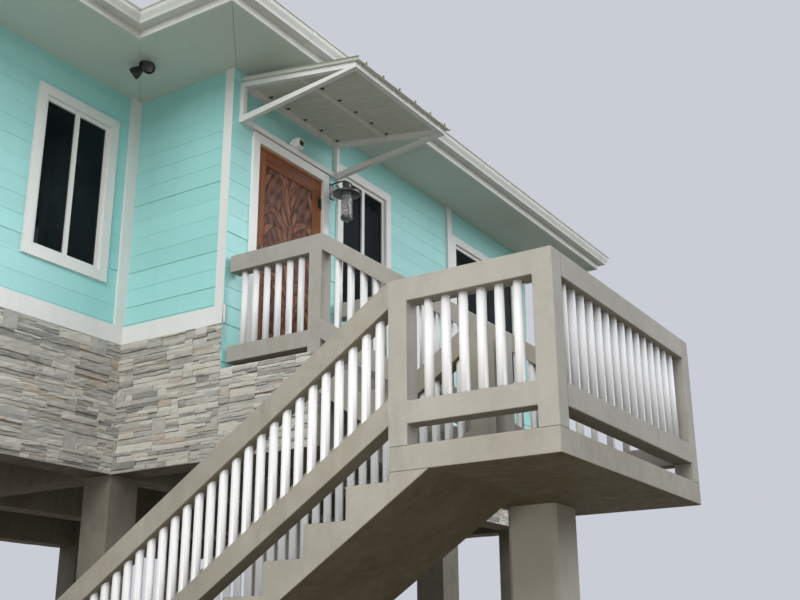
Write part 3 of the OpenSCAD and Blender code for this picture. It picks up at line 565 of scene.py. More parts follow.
# A darker copy of the rail cement, painted shade for the rails of the lower flight
concrete("painted_shade_lower_rail_concrete", (0.345, 0.327, 0.278), (0.280, 0.260, 0.214), 0.55, 0.6)
# A lighter copy of the same cement, painted light for the landing column
concrete("painted_light_column_concrete", (0.455, 0.430, 0.370), (0.400, 0.378, 0.325), 0.2, 0.3)
# A darker copy of the same cement, painted shade for the beams and columns under the house
concrete("dark_concrete", (0.245, 0.225, 0.185), (0.165, 0.150, 0.120), 0.6, 0.8)
varnished_wood("panel_wood", (0.255, 0.120, 0.080), (0.132, 0.054, 0.034), 0.28, carved=True)
varnished_wood("stile_wood", (0.240, 0.096, 0.042), (0.130, 0.047, 0.019))
varnished_wood("rail_wood", (0.205, 0.080, 0.044), (0.115, 0.040, 0.022), grain=(0.06, 1, 1))
varnished_wood("jamb_wood", (0.345, 0.142, 0.048), (0.205, 0.077, 0.023))
metal("lantern_metal", (0.125, 0.13, 0.13), 0.34, 0.7)
metal("bronze", (0.060, 0.052, 0.040), 0.36, 0.9, 0.5)
metal("screw_metal", (0.34, 0.34, 0.32), 0.45, 0.8, 0.6)
metal("black_plastic", (0.012, 0.012, 0.013), 0.45, 0.0, 0.2)
metal("black_rubber_and_rib_shade", (0.030, 0.031, 0.032), 0.7, 0.0, 0.3)

# Split stone: each strip has its own tone, with mottling, veins and rust marks
n = Nodes("ledger_stone", 0.8)
tones = [
    (0.00, (0.31, 0.295, 0.265)), (0.09, (0.42, 0.405, 0.36)), (0.20, (0.55, 0.525, 0.47)),
    (0.34, (0.36, 0.36, 0.345)), (0.45, (0.60, 0.58, 0.52)), (0.58, (0.47, 0.45, 0.395)),
    (0.68, (0.23, 0.23, 0.21)), (0.74, (0.56, 0.53, 0.47)), (0.85, (0.46, 0.375, 0.30)),
    (0.91, (0.40, 0.395, 0.37)),
]
base = n.layers(
    n.ramp(n.island(), *tones, steps=True),
    ((0.54, 0.52, 0.465), 0.46, 0.64, 0.5, 9, 6, 0.7, (0.6, 0.6, 1.8)),
    ((0.30, 0.295, 0.27), 0.54, 0.70, 0.4, 17, 6, 0.7, (0.5, 0.5, 2.4)),
    ((0.17, 0.165, 0.15), 0.56, 0.74, 0.6, 46, 6, 0.75, (0.6, 0.6, 1.6)),
    ((0.70, 0.685, 0.64), 0.60, 0.75, 0.45, 60, 5, 0.7),
    ((0.42, 0.29, 0.18), 0.61, 0.73, 0.45, 6, 5, 0.65))
n.bump(0.007, 0.9, n.noise(34, 6, 0.75, (0.6, 0.6, 1.8)))
n.bump(0.001, 0.6, n.noise(150, 4))
n.finish(base, 0.62, 0.9, 30)

# Window glass painted near black, as painted shade for the dark room behind it, with faint
# painted reflections in mottled patches
n = Nodes("glass_painted_dark", 0.05, IOR=1.13, Alpha=0.96)
n.finish(n.layers((0.005, 0.008, 0.009), ((0.016, 0.021, 0.023), 0.35, 0.7, 1.0, 1.6, 3),
                  ((0.3, 0.3, 0.28), 0.58, 0.85, 0.07, 9, 5, 0.7)),
         0.03, 0.09, 15, at=(0.4, 0.8))

# Clear glass of the lantern
n = Nodes("lantern_glass", 0.08, IOR=1.45, Alpha=0.42, Coat_Weight=0.5)
n.bump(0.001, 0.6, n.noise(60, 2, 0.5, (1, 1, 0.2)))
n.fill(n.bsdf, Base_Color=n.layers(
    (0.30, 0.31, 0.31), ((0.62, 0.63, 0.62), 0.35, 0.7, 1.0, 20, 4)))

# Carried-over CAD nodes

for material, nodes in {
        "dark_concrete": "floor_beams columns",
        "slab_concrete": "floor_slab",
        "siding_paint": "front_wall_corner front_wall_over_door front_wall_long step_wall "
                        "wing_front_wall wing_side_wall back_wall far_side_wall",
        "trim_paint": "wall_trim window_frames door_casing",
        "bracket_paint": "canopy_frame",
        "glass_painted_dark": "window_glass",
        "jamb_wood": "door_jamb",
        "bronze": "door_hinges door_hardware",
        "eave_paint": "fascia"}.items():
    for node in nodes.split():
        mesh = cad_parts[node].data
        mesh.materials.clear()
        mesh.materials.append(MATERIALS[material])
full_balusters("landing_balusters", 1.16, 1.05, FLOOR_Z - 0.5)
full_balusters("flight_balusters", 1.09, 1.07)

RAILS = sorted(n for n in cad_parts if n.endswith("_rail"))
SLABS = ["upper_landing", "upper_flight", "middle_landing", "lower_flight", "landing_column"]
TREES = {}
for node in RAILS + SLABS:
    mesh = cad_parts[node].data
    TREES[node] = BVHTree.FromPolygons([v.co for v in mesh.vertices],
                                       [p.vertices[:] for p in mesh.polygons])
for node in RAILS:
    worn_copy(node, "painted_shade_lower_rail_concrete" if node.startswith("lower") else "rail_concrete",
              0.007)
for node in SLABS:
    worn_copy(node, "painted_light_column_concrete" if node == "landing_column" else "slab_concrete",
              0.008)

# Lapped boards

rng = random.Random(7)
OPENINGS = islands("window_frames") + [house_box("door_casing")]


def row_spans(start, length, holes, low, high):
    """Parts of a board row that no hole covers, as (start, end)."""
    spans = [(start, length)]
    for s0, s1, z0, z1 in holes:
        if z0 < (low + high) / 2 < z1:
            spans = [(c, d) for a, b in spans
                     for c, d in ((a, min(b, s0)), (max(a, s1), b)) if c < d]
    return spans


def lap_boards(i, base_z, line_z, start=0.0):
    """Painted boards on side i, from base_z to the soffit, round its openings. The rows lap at
    line_z and at each exposure above it."""
    holes = []
    for low, high in OPENINGS:
        span = wall_span(i, (low, high))
        if span:
            holes.append((span[0] + CASING_LAP, span[1] - CASING_LAP,
                          low.z + CASING_LAP, high.z - CASING_LAP))
    shape = Shape()
    rows = math.ceil((SOFFIT_Z - line_z) / BOARD_EXPOSURE)
    for r in range(-1, rows):
        foot_z = line_z + r * BOARD_EXPOSURE
        z0 = max(foot_z, base_z)
        z1 = min(foot_z + BOARD_EXPOSURE, SOFFIT_Z)
        foot = BOARD_GAP if rng.random() < BOARD_GAP_SHARE else rng.uniform(*BOARD_BUTT)
        joint = rng.uniform(*JOINT_SHARE) * LENGTH[i] if LENGTH[i] > BOARD_STOCK else None
        if z1 <= z0:
            continue
        levels = sorted({z0, z1, *(z for h in holes for z in h[2:] if z0 < z < z1)})
        for low, high in zip(levels, levels[1:]):
            out = [foot + (BOARD_TOP - foot) * (z - foot_z) / BOARD_EXPOSURE
                   for z in (low, high)]
            for a, b in row_spans(start, LENGTH[i], holes, low, high):
                cuts = [a, b]
                if joint and a + JOINT_MARGIN < joint < b - JOINT_MARGIN:
                    cuts = [a, joint - JOINT_HALF, joint + JOINT_HALF, b]
                for s0, s1 in zip(cuts[::2], cuts[1::2]):
                    shape.loft([[on_wall(i, s, 0.0, low), on_wall(i, s, out[0], low),
                                 on_wall(i, s, out[1], high), on_wall(i, s, 0.0, high)]
                                for s in (s0, s1)])
    return shape


SIDE_NAMES = ["door_wall", "far_side", "back", "wing_side", "wing_front", "step"]
DOOR_WALL = 0
for i in SIDES:
    if i == DOOR_WALL:
        # These boards run over the end of the corner board
        boards = lap_boards(i, FLOOR_Z, FLOOR_Z + BOARD_LINES[0], -TRIM_T)
    else:
        boards = lap_boards(i, FLOOR_Z + STONE_UP + BASE_BOARD_H, FLOOR_Z + BOARD_LINES[1])
    boards.piece("boards_" + SIDE_NAMES[i], "siding_paint", "siding")

# Ledger stones


def stone_strip(shape, at, s0, s1, z0, z1):
    """One split stone. at(s, out, z) places its points."""
    s0, s1, z0, z1 = s0 + STONE_GAP, s1 - STONE_GAP, z0 + STONE_GAP, z1 - STONE_GAP
    out = rng.uniform(*STONE_DEPTH)
    count = max(2, round((s1 - s0) / STONE_STEP) + 1)
    rings = []
    for k in range(count):
        s = s0 + (s1 - s0) * k / (count - 1)
        lift = [rng.uniform(-STONE_ROUGH, STONE_ROUGH) for _ in range(3)]
        wave = [rng.uniform(-STONE_WAVE, STONE_WAVE) for _ in range(2)]
        low, high = z0 + wave[0], z1 + wave[1]
        rings.append([at(s, 0.0, low), at(s, out - STONE_ROUND + lift[0], low),
                      at(s, out + lift[1], (low + high) / 2),
                      at(s, out - STONE_ROUND + lift[2], high), at(s, 0.0, high)])
    shape.loft(rings)


def stone_face(shape, at, length, z0, z1, grow=(0.0, 0.0)):
    """Fills a face with panels of stacked strips. Odd courses run on by grow[1] past the end
    of the face and the others by grow[0] past its start, to close the corners."""
    courses = max(1, round((z1 - z0) / COURSE_H))
    h = (z1 - z0) / courses
    for c in range(courses):
        low = z0 + c * h
        first = 0.0 if c % 2 else -grow[0]
        last = length + (grow[1] if c % 2 else 0.0)
        s = first - rng.uniform(0, 0.2)
        while s < last:
            wide = rng.uniform(*STONE_WIDTH)
            a, b = max(s, first), min(s + wide, last)
            s += wide
            if b - a < 0.01:
                continue
            strips = 1 if wide < 0.17 and rng.random() < 0.3 else rng.choice([3, 3, 4, 4, 5, 6])
            weights = [rng.uniform(0.5, 1.5) for _ in range(strips)]
            z = low
            for weight in weights:
                top = z + h * weight / sum(weights)
                cuts = [a, b]
                if b - a > 0.15 and rng.random() < 0.6:
                    cuts.insert(1, a + (b - a) * rng.uniform(0.25, 0.75))
                for x0, x1 in zip(cuts, cuts[1:]):
                    stone_strip(shape, at, x0, x1, z, top)
                z = top


stones = Shape()
# Corners of the plan where the stones of two sides meet round an outer edge
OUTER = [False, True, True, True, True, False]
for i in SIDES:
    first = LANDING_HIGH.x + STONE_T if i == DOOR_WALL else 0.0
    top = FLOOR_Z if i == DOOR_WALL else FLOOR_Z + STONE_UP
    grow = [STONE_T * OUTER[c] for c in (i, (i + 1) % 6)]
    stone_face(stones, lambda s, out, z, i=i, first=first: on_wall(i, first + s, out, z),
               LENGTH[i] - first, BEAM_Z, top, grow)
for x, sign in ((LANDING_LOW.x, -1), (LANDING_HIGH.x, 1)):
    stone_face(stones, lambda s, out, z, x=x, sign=sign: Vector((x + sign * out, -s, z)),
               -LANDING_LOW.y, BEAM_Z, FLOOR_Z)
stones.piece("ledger_stones", "ledger_stone", "ledger_stone", replaces=("stone_band",))

# Roof sheets, ribs and caps

EAVE_SIDE = OVER_SIDE + ROOF_GROW
EAVE_FRONT = OVER_FRONT + ROOF_GROW
EAVE_Z = FASCIA_HIGH + ROOF_EDGE
MAIN = (-EAVE_SIDE, -EAVE_FRONT, BLOCK_L + EAVE_SIDE, HOUSE_D + EAVE_SIDE)
WING = (-WING_L - EAVE_SIDE, STEP_D - EAVE_SIDE, MAIN[2], HOUSE_D + EAVE_SIDE)


def roof_rise(x, y):
    """Distance in from the eaves, of the higher of the two hips."""
    return max(min(x - x0, y - y0, x1 - x, y1 - y) for x0, y0, x1, y1 in (MAIN, WING))


def on_roof(x, y):
    return Vector((x, y, EAVE_Z + roof_rise(x, y) * ROOF_SLOPE))


half_wing = (WING[3] - WING[1]) / 2
FRONT_LEFT, FRONT_RIGHT, BACK_RIGHT = MAIN[:2], (MAIN[2], MAIN[1]), MAIN[2:]
WING_FRONT, WING_BACK = WING[:2], (WING[0], WING[3])
# Eave lines as (start, direction along it, length that carries ribs)
EAVES = [
    (FRONT_LEFT, (1, 0), MAIN[2] - MAIN[0]),
    (FRONT_RIGHT, (0, 1), MAIN[3] - MAIN[1]),
    (BACK_RIGHT, (-1, 0), MAIN[2] - WING[0]),
    (WING_BACK, (0, -1), WING[3] - WING[1]),
    (WING_FRONT, (1, 0), MAIN[0] - WING[0] + half_wing),
    ((MAIN[0], MAIN[3]), (0, -1), MAIN[3] - MAIN[1]),
]


def on_slope(start, along, s, d, lift=0.0):
    """Point of a slope: s along its eave, d in from it and lift above the sheet."""
    return (start[0] + along[0] * s - along[1] * d, start[1] + along[1] * s + along[0] * d,
            EAVE_Z + d * ROOF_SLOPE + lift)


def slope_span(start, along, s):
    """Stretch of a line up the slope on which this slope is the roof's surface."""
    found = [d for d in (k * SLOPE_STEP for k in range(380))
             if abs(roof_rise(*on_slope(start, along, s, d)[:2]) - d) < 1e-6]
    return (found[0], found[-1]) if len(found) > 2 else None


# Places of ribs and flutes in one pitch, as (share of the pitch, half width, height)
RIB, FLUTE = (0.025, 0.022), (0.010, 0.004)
FLUTES = [(0.0, *RIB), (0.16, *FLUTE), (0.34, *FLUTE), (0.5, *RIB), (0.66, *FLUTE),
          (0.84, *FLUTE)]
ribs = Shape()
for start, along, length in EAVES:
    rows = int(length / RIB_PITCH)
    pitch = length / rows
    for k in range(rows):
        for share, half, h in FLUTES:
            s = (k + 0.5 + share) * pitch
            span = slope_span(start, along, s) if s < length else None
            if span and span[1] - span[0] >= 4 * RIB_END:
                ring = ((-half, -RIB_SUNK), (-half * 0.6, h), (half * 0.6, h), (half, -RIB_SUNK))
                ribs.loft([[on_slope(start, along, s + across, d, lift) for across, lift in ring]
                           for d in (span[0], span[1] - RIB_END)])

# Sheet under the ribs: one thin slab for each slope
apex = ((MAIN[0] + MAIN[2]) / 2, (MAIN[1] + MAIN[3]) / 2)
ridge = [(x + half_wing, WING[1] + half_wing) for x in (WING[0], MAIN[0])]
valley_foot = (MAIN[0], WING[1])
SLOPES = [
    [FRONT_LEFT, FRONT_RIGHT, apex],
    [FRONT_RIGHT, BACK_RIGHT, apex],
    [BACK_RIGHT, WING_BACK, *ridge, apex],
    [WING_BACK, WING_FRONT, ridge[0]],
    [WING_FRONT, valley_foot, ridge[1], ridge[0]],
    [valley_foot, FRONT_LEFT, apex, ridge[1]],
]
sheets = Shape()
for outline in SLOPES:
    top = [on_roof(*p) for p in outline]
    sheets.loft([[p - Vector((0, 0, ROOF_SHEET_T)) for p in top], top])
sheets.piece("roof_sheets", "roof_paint", "roof_sheet", replaces=("main_roof", "wing_roof"))
ribs.piece("roof_ribs", "roof_paint", "roof_sheet")

caps = Shape()


def cap_line(a, b, corner=False):
    """Folded cap along a hip or the ridge, from plan point a to b. At a corner of the eaves its
    end is cut along both eaves."""
    a, b = Vector(a), Vector(b)
    ahead = (b - a).normalized()
    across = Vector((-ahead.y, ahead.x))
    rings = []
    tip = [(a, 0.01), (a + ahead * CAP_HALF, CAP_HALF)] if corner else [(a, CAP_HALF)]
    for p, half in tip + [(b, CAP_HALF)]:
        crown = on_roof(p.x, p.y)
        ring = []
        for t in (-half, -0.15 * half, 0.15 * half, half):
            q = p + across * t
            z = on_roof(q.x, q.y).z if abs(t) == half else crown.z - 0.03 * half
            ring.append(Vector((q.x, q.y, z + CAP_LIFT)))
        rings.append(ring + [p - Vector((0, 0, CAP_T)) for p in reversed(ring)])
    caps.loft(rings)


for hip_foot in (FRONT_LEFT, FRONT_RIGHT, BACK_RIGHT):
    cap_line(hip_foot, apex, corner=True)
for hip_foot in (WING_BACK, WING_FRONT):
    cap_line(hip_foot, ridge[0], corner=True)
cap_line(*ridge)
cap_line(ridge[1], apex)
caps.piece("roof_caps", "roof_paint", "roof_sheet")

# Eaves

low, top = (p.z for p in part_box("gutter"))
g0, g1 = FASCIA_T + 0.001, RIM
h = top - low
outer = [(g0, top), (g0, low), (g0 + 0.075, low), (g0 + 0.082, low + 0.20 * h),
         (g0 + 0.094, low + 0.38 * h), (g1 - 0.016, low + 0.52 * h), (g1 - 0.014, top - 0.022),
         (g1 - 0.003, top - 0.018), (g1, top - 0.008), (g1 - 0.005, top), (g1 - 0.014, top)]
inner = [(g - GUTTER_T if g > g0 + 0.01 else g + GUTTER_T,
          z + (GUTTER_T if z < low + 0.01 else 0)) for g, z in outer[1:7]]
profile = outer + inner[::-1] + [(g0 + GUTTER_T, top)]
gutter = Shape()
gutter.loft([[(*plan(OVER_SIDE + g, OVER_FRONT + g)[c % 6], z) for g, z in profile]
             for c in range(7)], caps=False)
gutter.piece("gutter_channel", "eave_paint", "white_trim", replaces=("gutter",))

couplers = Shape()
GROWN = plan(OVER_SIDE, OVER_FRONT)
skin = [(g + COUPLER_T * (g > g0), z - COUPLER_T * (z < top - 0.03)) for g, z in outer[:7]]
skin += [(g, z + 0.002) for g, z in reversed(outer[:7])]
for i in SIDES:
    run = (GROWN[(i + 1) % 6] - GROWN[i]).length
    count = max(1, round(run / COUPLER_PITCH))
    for k in range(count):
        rings = []
        for e in (-COUPLER_HALF, COUPLER_HALF):
            p = GROWN[i] + ALONG[i] * ((k + 0.5) * run / count + e)
            rings.append([(p.x + OUT[i].x * g, p.y + OUT[i].y * g, z) for g, z in skin])
        couplers.loft(rings)
couplers.piece("gutter_couplers", "eave_paint", "white_trim")

# Soffit boards, with thin seams across them and mitred corners

soffit = Shape()
for i in SIDES:
    a, b, c, d = (p[k] for p in (CORNERS, GROWN) for k in (i, (i + 1) % 6))
    # A board ends at the mitres, so its seams lie where both of its edges run
    low = max((p - a).dot(ALONG[i]) for p in (a, c))
    high = min((p - a).dot(ALONG[i]) for p in (b, d))
    count = max(1, round((high - low) / SOFFIT_BOARD))
    seams = [(a, c)]
    for k in range(1, count):
        near = a + ALONG[i] * (low + (high - low) * k / count)
        seams.append((near, near + OUT[i] * (c - a).dot(OUT[i])))
    seams.append((b, d))
    half = ALONG[i] * SEAM / 2
    for (a, c), (b, d) in zip(seams, seams[1:]):
        corners = (a + half, b - half, d - half, c + half)
        soffit.loft([[(p.x, p.y, z) for p in corners] for z in (SOFFIT_Z, ROOF_Z)])
soffit.piece("soffit_boards", "soffit_paint", "soffit_board", replaces=("soffit",))

# Entry door


def frond_blades():
    """Curved leaves (root, bend, tip, width) over a panel one unit wide and 2.5 high."""
    blades = []

    def leaf(x, y, angle, length, width, bend):
        root = np.array((x, y))
        run = length * np.array((math.cos(math.radians(angle)), math.sin(math.radians(angle))))
        blades.append((root, root + 0.5 * run + bend * np.array((-run[1], run[0])),
                       root + run, width))
    for side in (-1, 1):
        out = 90 - 90 * side
        for k in range(8):
            # Drooping leaves from the edges, then a frond of rising leaves before them
            leaf(0.5 + side * 0.50, 0.22 + 0.31 * k, out + side * (118 + 14 * (k % 3)), 0.30,
                 0.050 + 0.006 * (k % 2), -0.30 * side)
        for k in range(9):
            leaf(0.5 + side * 0.02, 0.04 + 0.27 * k, out + side * (34 + 17 * ((k * 2) % 3)),
                 0.44 - 0.05 * (k % 2), 0.062 + 0.008 * ((k * 5) % 3), 0.26 * side)
            leaf(0.5 + side * 0.01, 0.14 + 0.27 * k, out + side * (66 + 8 * (k % 2)), 0.30,
                 0.042, -0.18 * side)
    for k in range(5):
        leaf(0.5 + 0.03 * (-1) ** k, 0.46 * k, 90 + 9 * (-1) ** k, 0.50, 0.045, 0.10 * (-1) ** k)
    return blades


def carve_height(u, v):
    """Relief from 0 at the ground to 1, at the panel coordinates u and v."""
    height = 0.14 + 0.07 * np.sin(46 * u + 7 * np.sin(4.2 * v)) + 0.06 * np.sin(31 * v + 6 * u)
    t = np.linspace(0, 1, 24)
    for order, (p0, p1, p2, width) in enumerate(frond_blades()):
        curve = ((1 - t) ** 2)[:, None] * p0 + (2 * t * (1 - t))[:, None] * p1 \
            + (t ** 2)[:, None] * p2
        gap = np.hypot(u[..., None] - curve[:, 0], v[..., None] - curve[:, 1])
        along = t[gap.argmin(-1)]
        gap = gap.min(-1)
        half = width * np.sin(np.pi * (0.07 + 0.92 * along)) ** 0.75
        inside = np.clip(1 - (gap / half) ** 2, 0, 1)
        level = 0.62 + 0.38 * ((order * 7) % 5) / 4
        vein = 0.45 * np.exp(-(gap / 0.009) ** 2) + 0.10 * np.cos(150 * along) ** 2
        blade = level * inside ** 0.45 - vein * (inside > 0.15)
        height = np.where(inside > 0, blade, height * np.where(gap < half + 0.016, 0.25, 1))
    return np.clip(height, 0, 1)


STILE_W = 0.085
TOP_RAIL = 0.110
BOTTOM_RAIL = 0.220
PANEL_BACK = 0.037
CARVING_T = 0.020
PANEL_TUCK = 0.006
CARVE_STEP = 0.006
CARVE_FADE = 0.02


def carved_panel(x0, x1, z0, z1):
    """Carved board in the leaf, with its relief on the outer face."""
    xs, zs = np.meshgrid(np.linspace(x0, x1, round((x1 - x0) / CARVE_STEP)),
                         np.linspace(z0, z1, round((z1 - z0) / CARVE_STEP)))
    relief = carve_height((xs - x0) / (x1 - x0), (zs - z0) / (x1 - x0))
    edge = np.minimum.reduce([xs - x0, x1 - xs, zs - z0, z1 - zs])
    relief *= np.clip((edge - 2 * PANEL_TUCK) / CARVE_FADE, 0, 1)
    ys = CARVE_GROUND + (CARVE_TOP - CARVE_GROUND) * relief
    shape = Shape()
    shape.loft([[*zip(x, y, z), (x1, CARVING_T, z[0]), (x0, CARVING_T, z[0])]
                for x, y, z in zip(xs, ys, zs)])
    shape.piece("door_carving", "panel_wood", "stained_wood", "door", smooth=50)


def entry_door():
    (x0, y0, z0), (x1, y1, z1) = house_box("door_leaf")
    a, b, c, d = x0 + STILE_W, x1 - STILE_W, z0 + BOTTOM_RAIL, z1 - TOP_RAIL
    west, east, foot, head = a - PANEL_TUCK, b + PANEL_TUCK, c - PANEL_TUCK, d + PANEL_TUCK
    blocks("door_stiles", "stile_wood", "stained_wood",
           [((x0, y0, z0), (a, y1, z1)), ((b, y0, z0), (x1, y1, z1))],
           body="door", bevel=0.002, replaces=("door_leaf",))
    blocks("door_rails", "rail_wood", "stained_wood",
           [((a, y0, z0), (b, y1, c)), ((a, y0, d), (b, y1, z1))], body="door", bevel=0.002)
    carved_panel(west, east, foot, head)
    blocks("door_inner_panel", "stile_wood", "stained_wood",
           [((west, CARVING_T + 0.0005, foot), (east, PANEL_BACK, head))], body="door")
    # Mouldings round the panel, on both faces
    mould = Shape()
    profile = [(0.0, 0.001), (0.004, 0.001), (0.010, 0.004), (0.013, 0.009), (0.0, 0.012)]
    for face, sign in ((y0, 1), (y1, -1)):
        mould.loft([[(cx + dx * g, face + sign * depth, cz + dz * g) for g, depth in profile]
                    for cx, cz, dx, dz in ((a, c, 1, 1), (b, c, -1, 1), (b, d, -1, -1),
                                           (a, d, 1, -1), (a, c, 1, 1))], caps=False)
    mould.piece("door_mouldings", "stile_wood", "stained_wood", "door")


entry_door()

# Black gaskets round the window glass

gaskets = Shape()
for low, high in islands("window_glass"):
    for i in SIDES:
        span = wall_span(i, (low, high))
        if not span:
            continue
        glass = max((p.to_2d() - CORNERS[i]).dot(OUT[i]) for p in (low, high))
        (s0, s1), z0, z1, g = span, low.z, high.z, GASKET_W
        for a, b, c, d in ((s0, s1, z0, z0 + g), (s0, s1, z1 - g, z1),
                           (s0, s0 + g, z0 + g, z1 - g), (s1 - g, s1, z0 + g, z1 - g)):
            gaskets.loft([[on_wall(i, s, glass + out, z) for out, z in
                           ((0, c), (GASKET_T, c), (GASKET_T, d), (0, d))] for s in (a, b)])
gaskets.piece("window_gaskets", "black_rubber_and_rib_shade", "dark_metal")

# Door canopy

SHEET_RIB_W = 0.034
SHEET_RIB_H = 0.025
SHEET_RIB_PITCH = 0.230
SHEET_SKIN = 0.0015
SHEET_LIP = 0.040
TUBE_W = 0.045
PURLIN_Y = 0.590
PURLIN_W = 0.030
HOLLOW_SHADE_T = 0.028


def canopy():
    """Ribbed sheet over the door, with low ribs between its main ribs, and its screws."""
    low, high = house_box("canopy_sheet")
    bar_low, bar_high = house_box("canopy_frame")
    sheet_top, sheet_front = bar_high.z + 0.0004, bar_low.z + 0.190
    length = high.x - low.x
    count = int(length / SHEET_RIB_PITCH)
    pitch = length / count
    fall = math.atan2(sheet_top - sheet_front, bar_high.y - 2 * TUBE_W - bar_low.y + TUBE_W)
    outline = [(0.0, SHEET_RIB_H), (0.012, SHEET_RIB_H), (0.019, 0.0)]
    ribs = sorted([(0.0, SHEET_RIB_W, SHEET_RIB_H),
                   *((share, 0.010, 0.003) for share in (-0.32, -0.20, 0.20, 0.32))])
    for k in range(count):
        for share, wide, h in ribs:
            m = (k + 0.5 + share) * pitch
            outline += [(m - wide / 2, 0.0), (m - wide / 4, h), (m + wide / 4, h),
                        (m + wide / 2, 0.0)]
    outline += [(length - 0.019, 0.0), (length - 0.012, SHEET_RIB_H), (length, SHEET_RIB_H)]
    foot = Vector((low.x, -TUBE_W, sheet_top))
    down = Vector((0, -math.cos(fall), -math.sin(fall)))
    normal = Vector((0, -math.sin(fall), math.cos(fall)))
    reach = (foot.y - low.y) / math.cos(fall)

    def on_sheet(x, d, z):
        """Point x along the wall, d down the fall and z off the sheet."""
        return foot + down * d + Vector((x, 0, 0)) + normal * z

    sheet = Shape()
    ring = outline + [(x, z + SHEET_SKIN) for x, z in reversed(outline)]
    sheet.loft([[on_sheet(x, d, z) for x, z in ring] for d in (0.0, reach)])
    sheet.piece("canopy_ribbed_sheet", "canopy_paint", "roof_sheet", replaces=("canopy_sheet",))
    # Dark blocks in the ribs over the wall bar and the purlin: painted shade for the dark hollows
    # there
    hollow_shade, screws = Shape(), Shape()
    side, top = SHEET_RIB_W / 2, SHEET_RIB_H - 0.001
    for x in ((k + 0.5) * pitch for k in range(count)):
        for d in (0.002, (PURLIN_Y + PURLIN_W / 2 - TUBE_W) / math.cos(fall) - 0.004):
            hollow_shade.loft([[on_sheet(x + c, e, h) for c, h in
                        ((-side, 0.0), (-side / 2, top), (side / 2, top), (side, 0.0))]
                       for e in (d, d + HOLLOW_SHADE_T)])
        for d in (0.02, (PURLIN_Y - TUBE_W) / math.cos(fall), reach - SHEET_LIP - TUBE_W / 2):
            screws.turn([(0.009, 0.0), (0.009, 0.003), (0.0055, 0.0035), (0.0055, 0.009),
                         (0.004, 0.010)], on_sheet(x, d, SHEET_RIB_H), 6, axis=normal)
    hollow_shade.piece("canopy_rib_shade", "black_rubber_and_rib_shade", "dark_metal")
    screws.piece("canopy_screws", "screw_metal", "dark_metal")


canopy()

# Lights


def lantern():
    """Hooded lantern with a ribbed glass, on a curved arm from a wall plate."""
    low, high = house_box("porch_lantern")
    x, y, foot = (low.x + high.x) / 2, low.y + (high.x - low.x) / 2, low.z
    centre = (x, y, foot)
    body = Shape()
    body.turn([(0.004, 0.050), (0.010, 0.052), (0.012, 0.066), (0.034, 0.074), (0.050, 0.082),
               (0.055, 0.090), (0.055, 0.112), (0.049, 0.116)], centre)
    body.turn([(0.047, 0.352), (0.108, 0.338), (0.124, 0.326), (0.1275, 0.328), (0.128, 0.340),
               (0.122, 0.347), (0.084, 0.366), (0.052, 0.384), (0.042, 0.388), (0.040, 0.432),
               (0.045, 0.434), (0.045, 0.440), (0.030, 0.449), (0.014, 0.454), (0.010, 0.464)],
              centre, 48)
    for k in range(4):
        a = math.pi * (0.25 + 0.5 * k)
        rod = [(x + 0.051 * math.cos(a), y + 0.051 * math.sin(a), foot + z) for z in (0.10, 0.35)]
        body.tube(rod, 0.002, 6)
    # Arm: over the hood in an arch, and a scroll under it at the wall
    body.tube([(x, y - 0.5 * y * (1 - math.cos(t)), foot + 0.452 + 0.028 * math.sin(t))
               for t in (math.pi * k / 16 for k in range(17))], 0.008, 10)
    scroll = []
    for k in range(29):
        t = 0.5 * math.pi + 1.6 * math.pi * k / 28
        r = 0.050 - 0.026 * k / 28
        scroll.append((x, -0.060 + r * math.cos(t), foot + 0.400 + r * math.sin(t)))
    body.tube(scroll, 0.006, 8)
    body.piece("lantern_body", "lantern_metal", "dark_metal", smooth=35,
               replaces=("porch_lantern",))
    blocks("lantern_wall_plate", "lantern_metal", "dark_metal",
           [((x - 0.052, -0.020, foot + 0.330), (x + 0.052, -0.002, foot + 0.4799))],
           bevel=0.006)
    glass, bulb = Shape(), Shape()
    outer = [(0.0455, 0.110), (0.047, 0.118), (0.047, 0.336), (0.044, 0.348)]
    glass.turn(outer + [(r - 0.003, z) for r, z in reversed(outer)], centre, 96, 16)
    glass.piece("lantern_glass", "lantern_glass", "glass", smooth=50)
    bulb.turn([(0.013, 0.330), (0.013, 0.300), (0.020, 0.280), (0.027, 0.252), (0.026, 0.232),
               (0.018, 0.216), (0.005, 0.211)], centre, 24)
    bulb.piece("lantern_bulb", "bulb_glass", "light_housing", smooth=40)


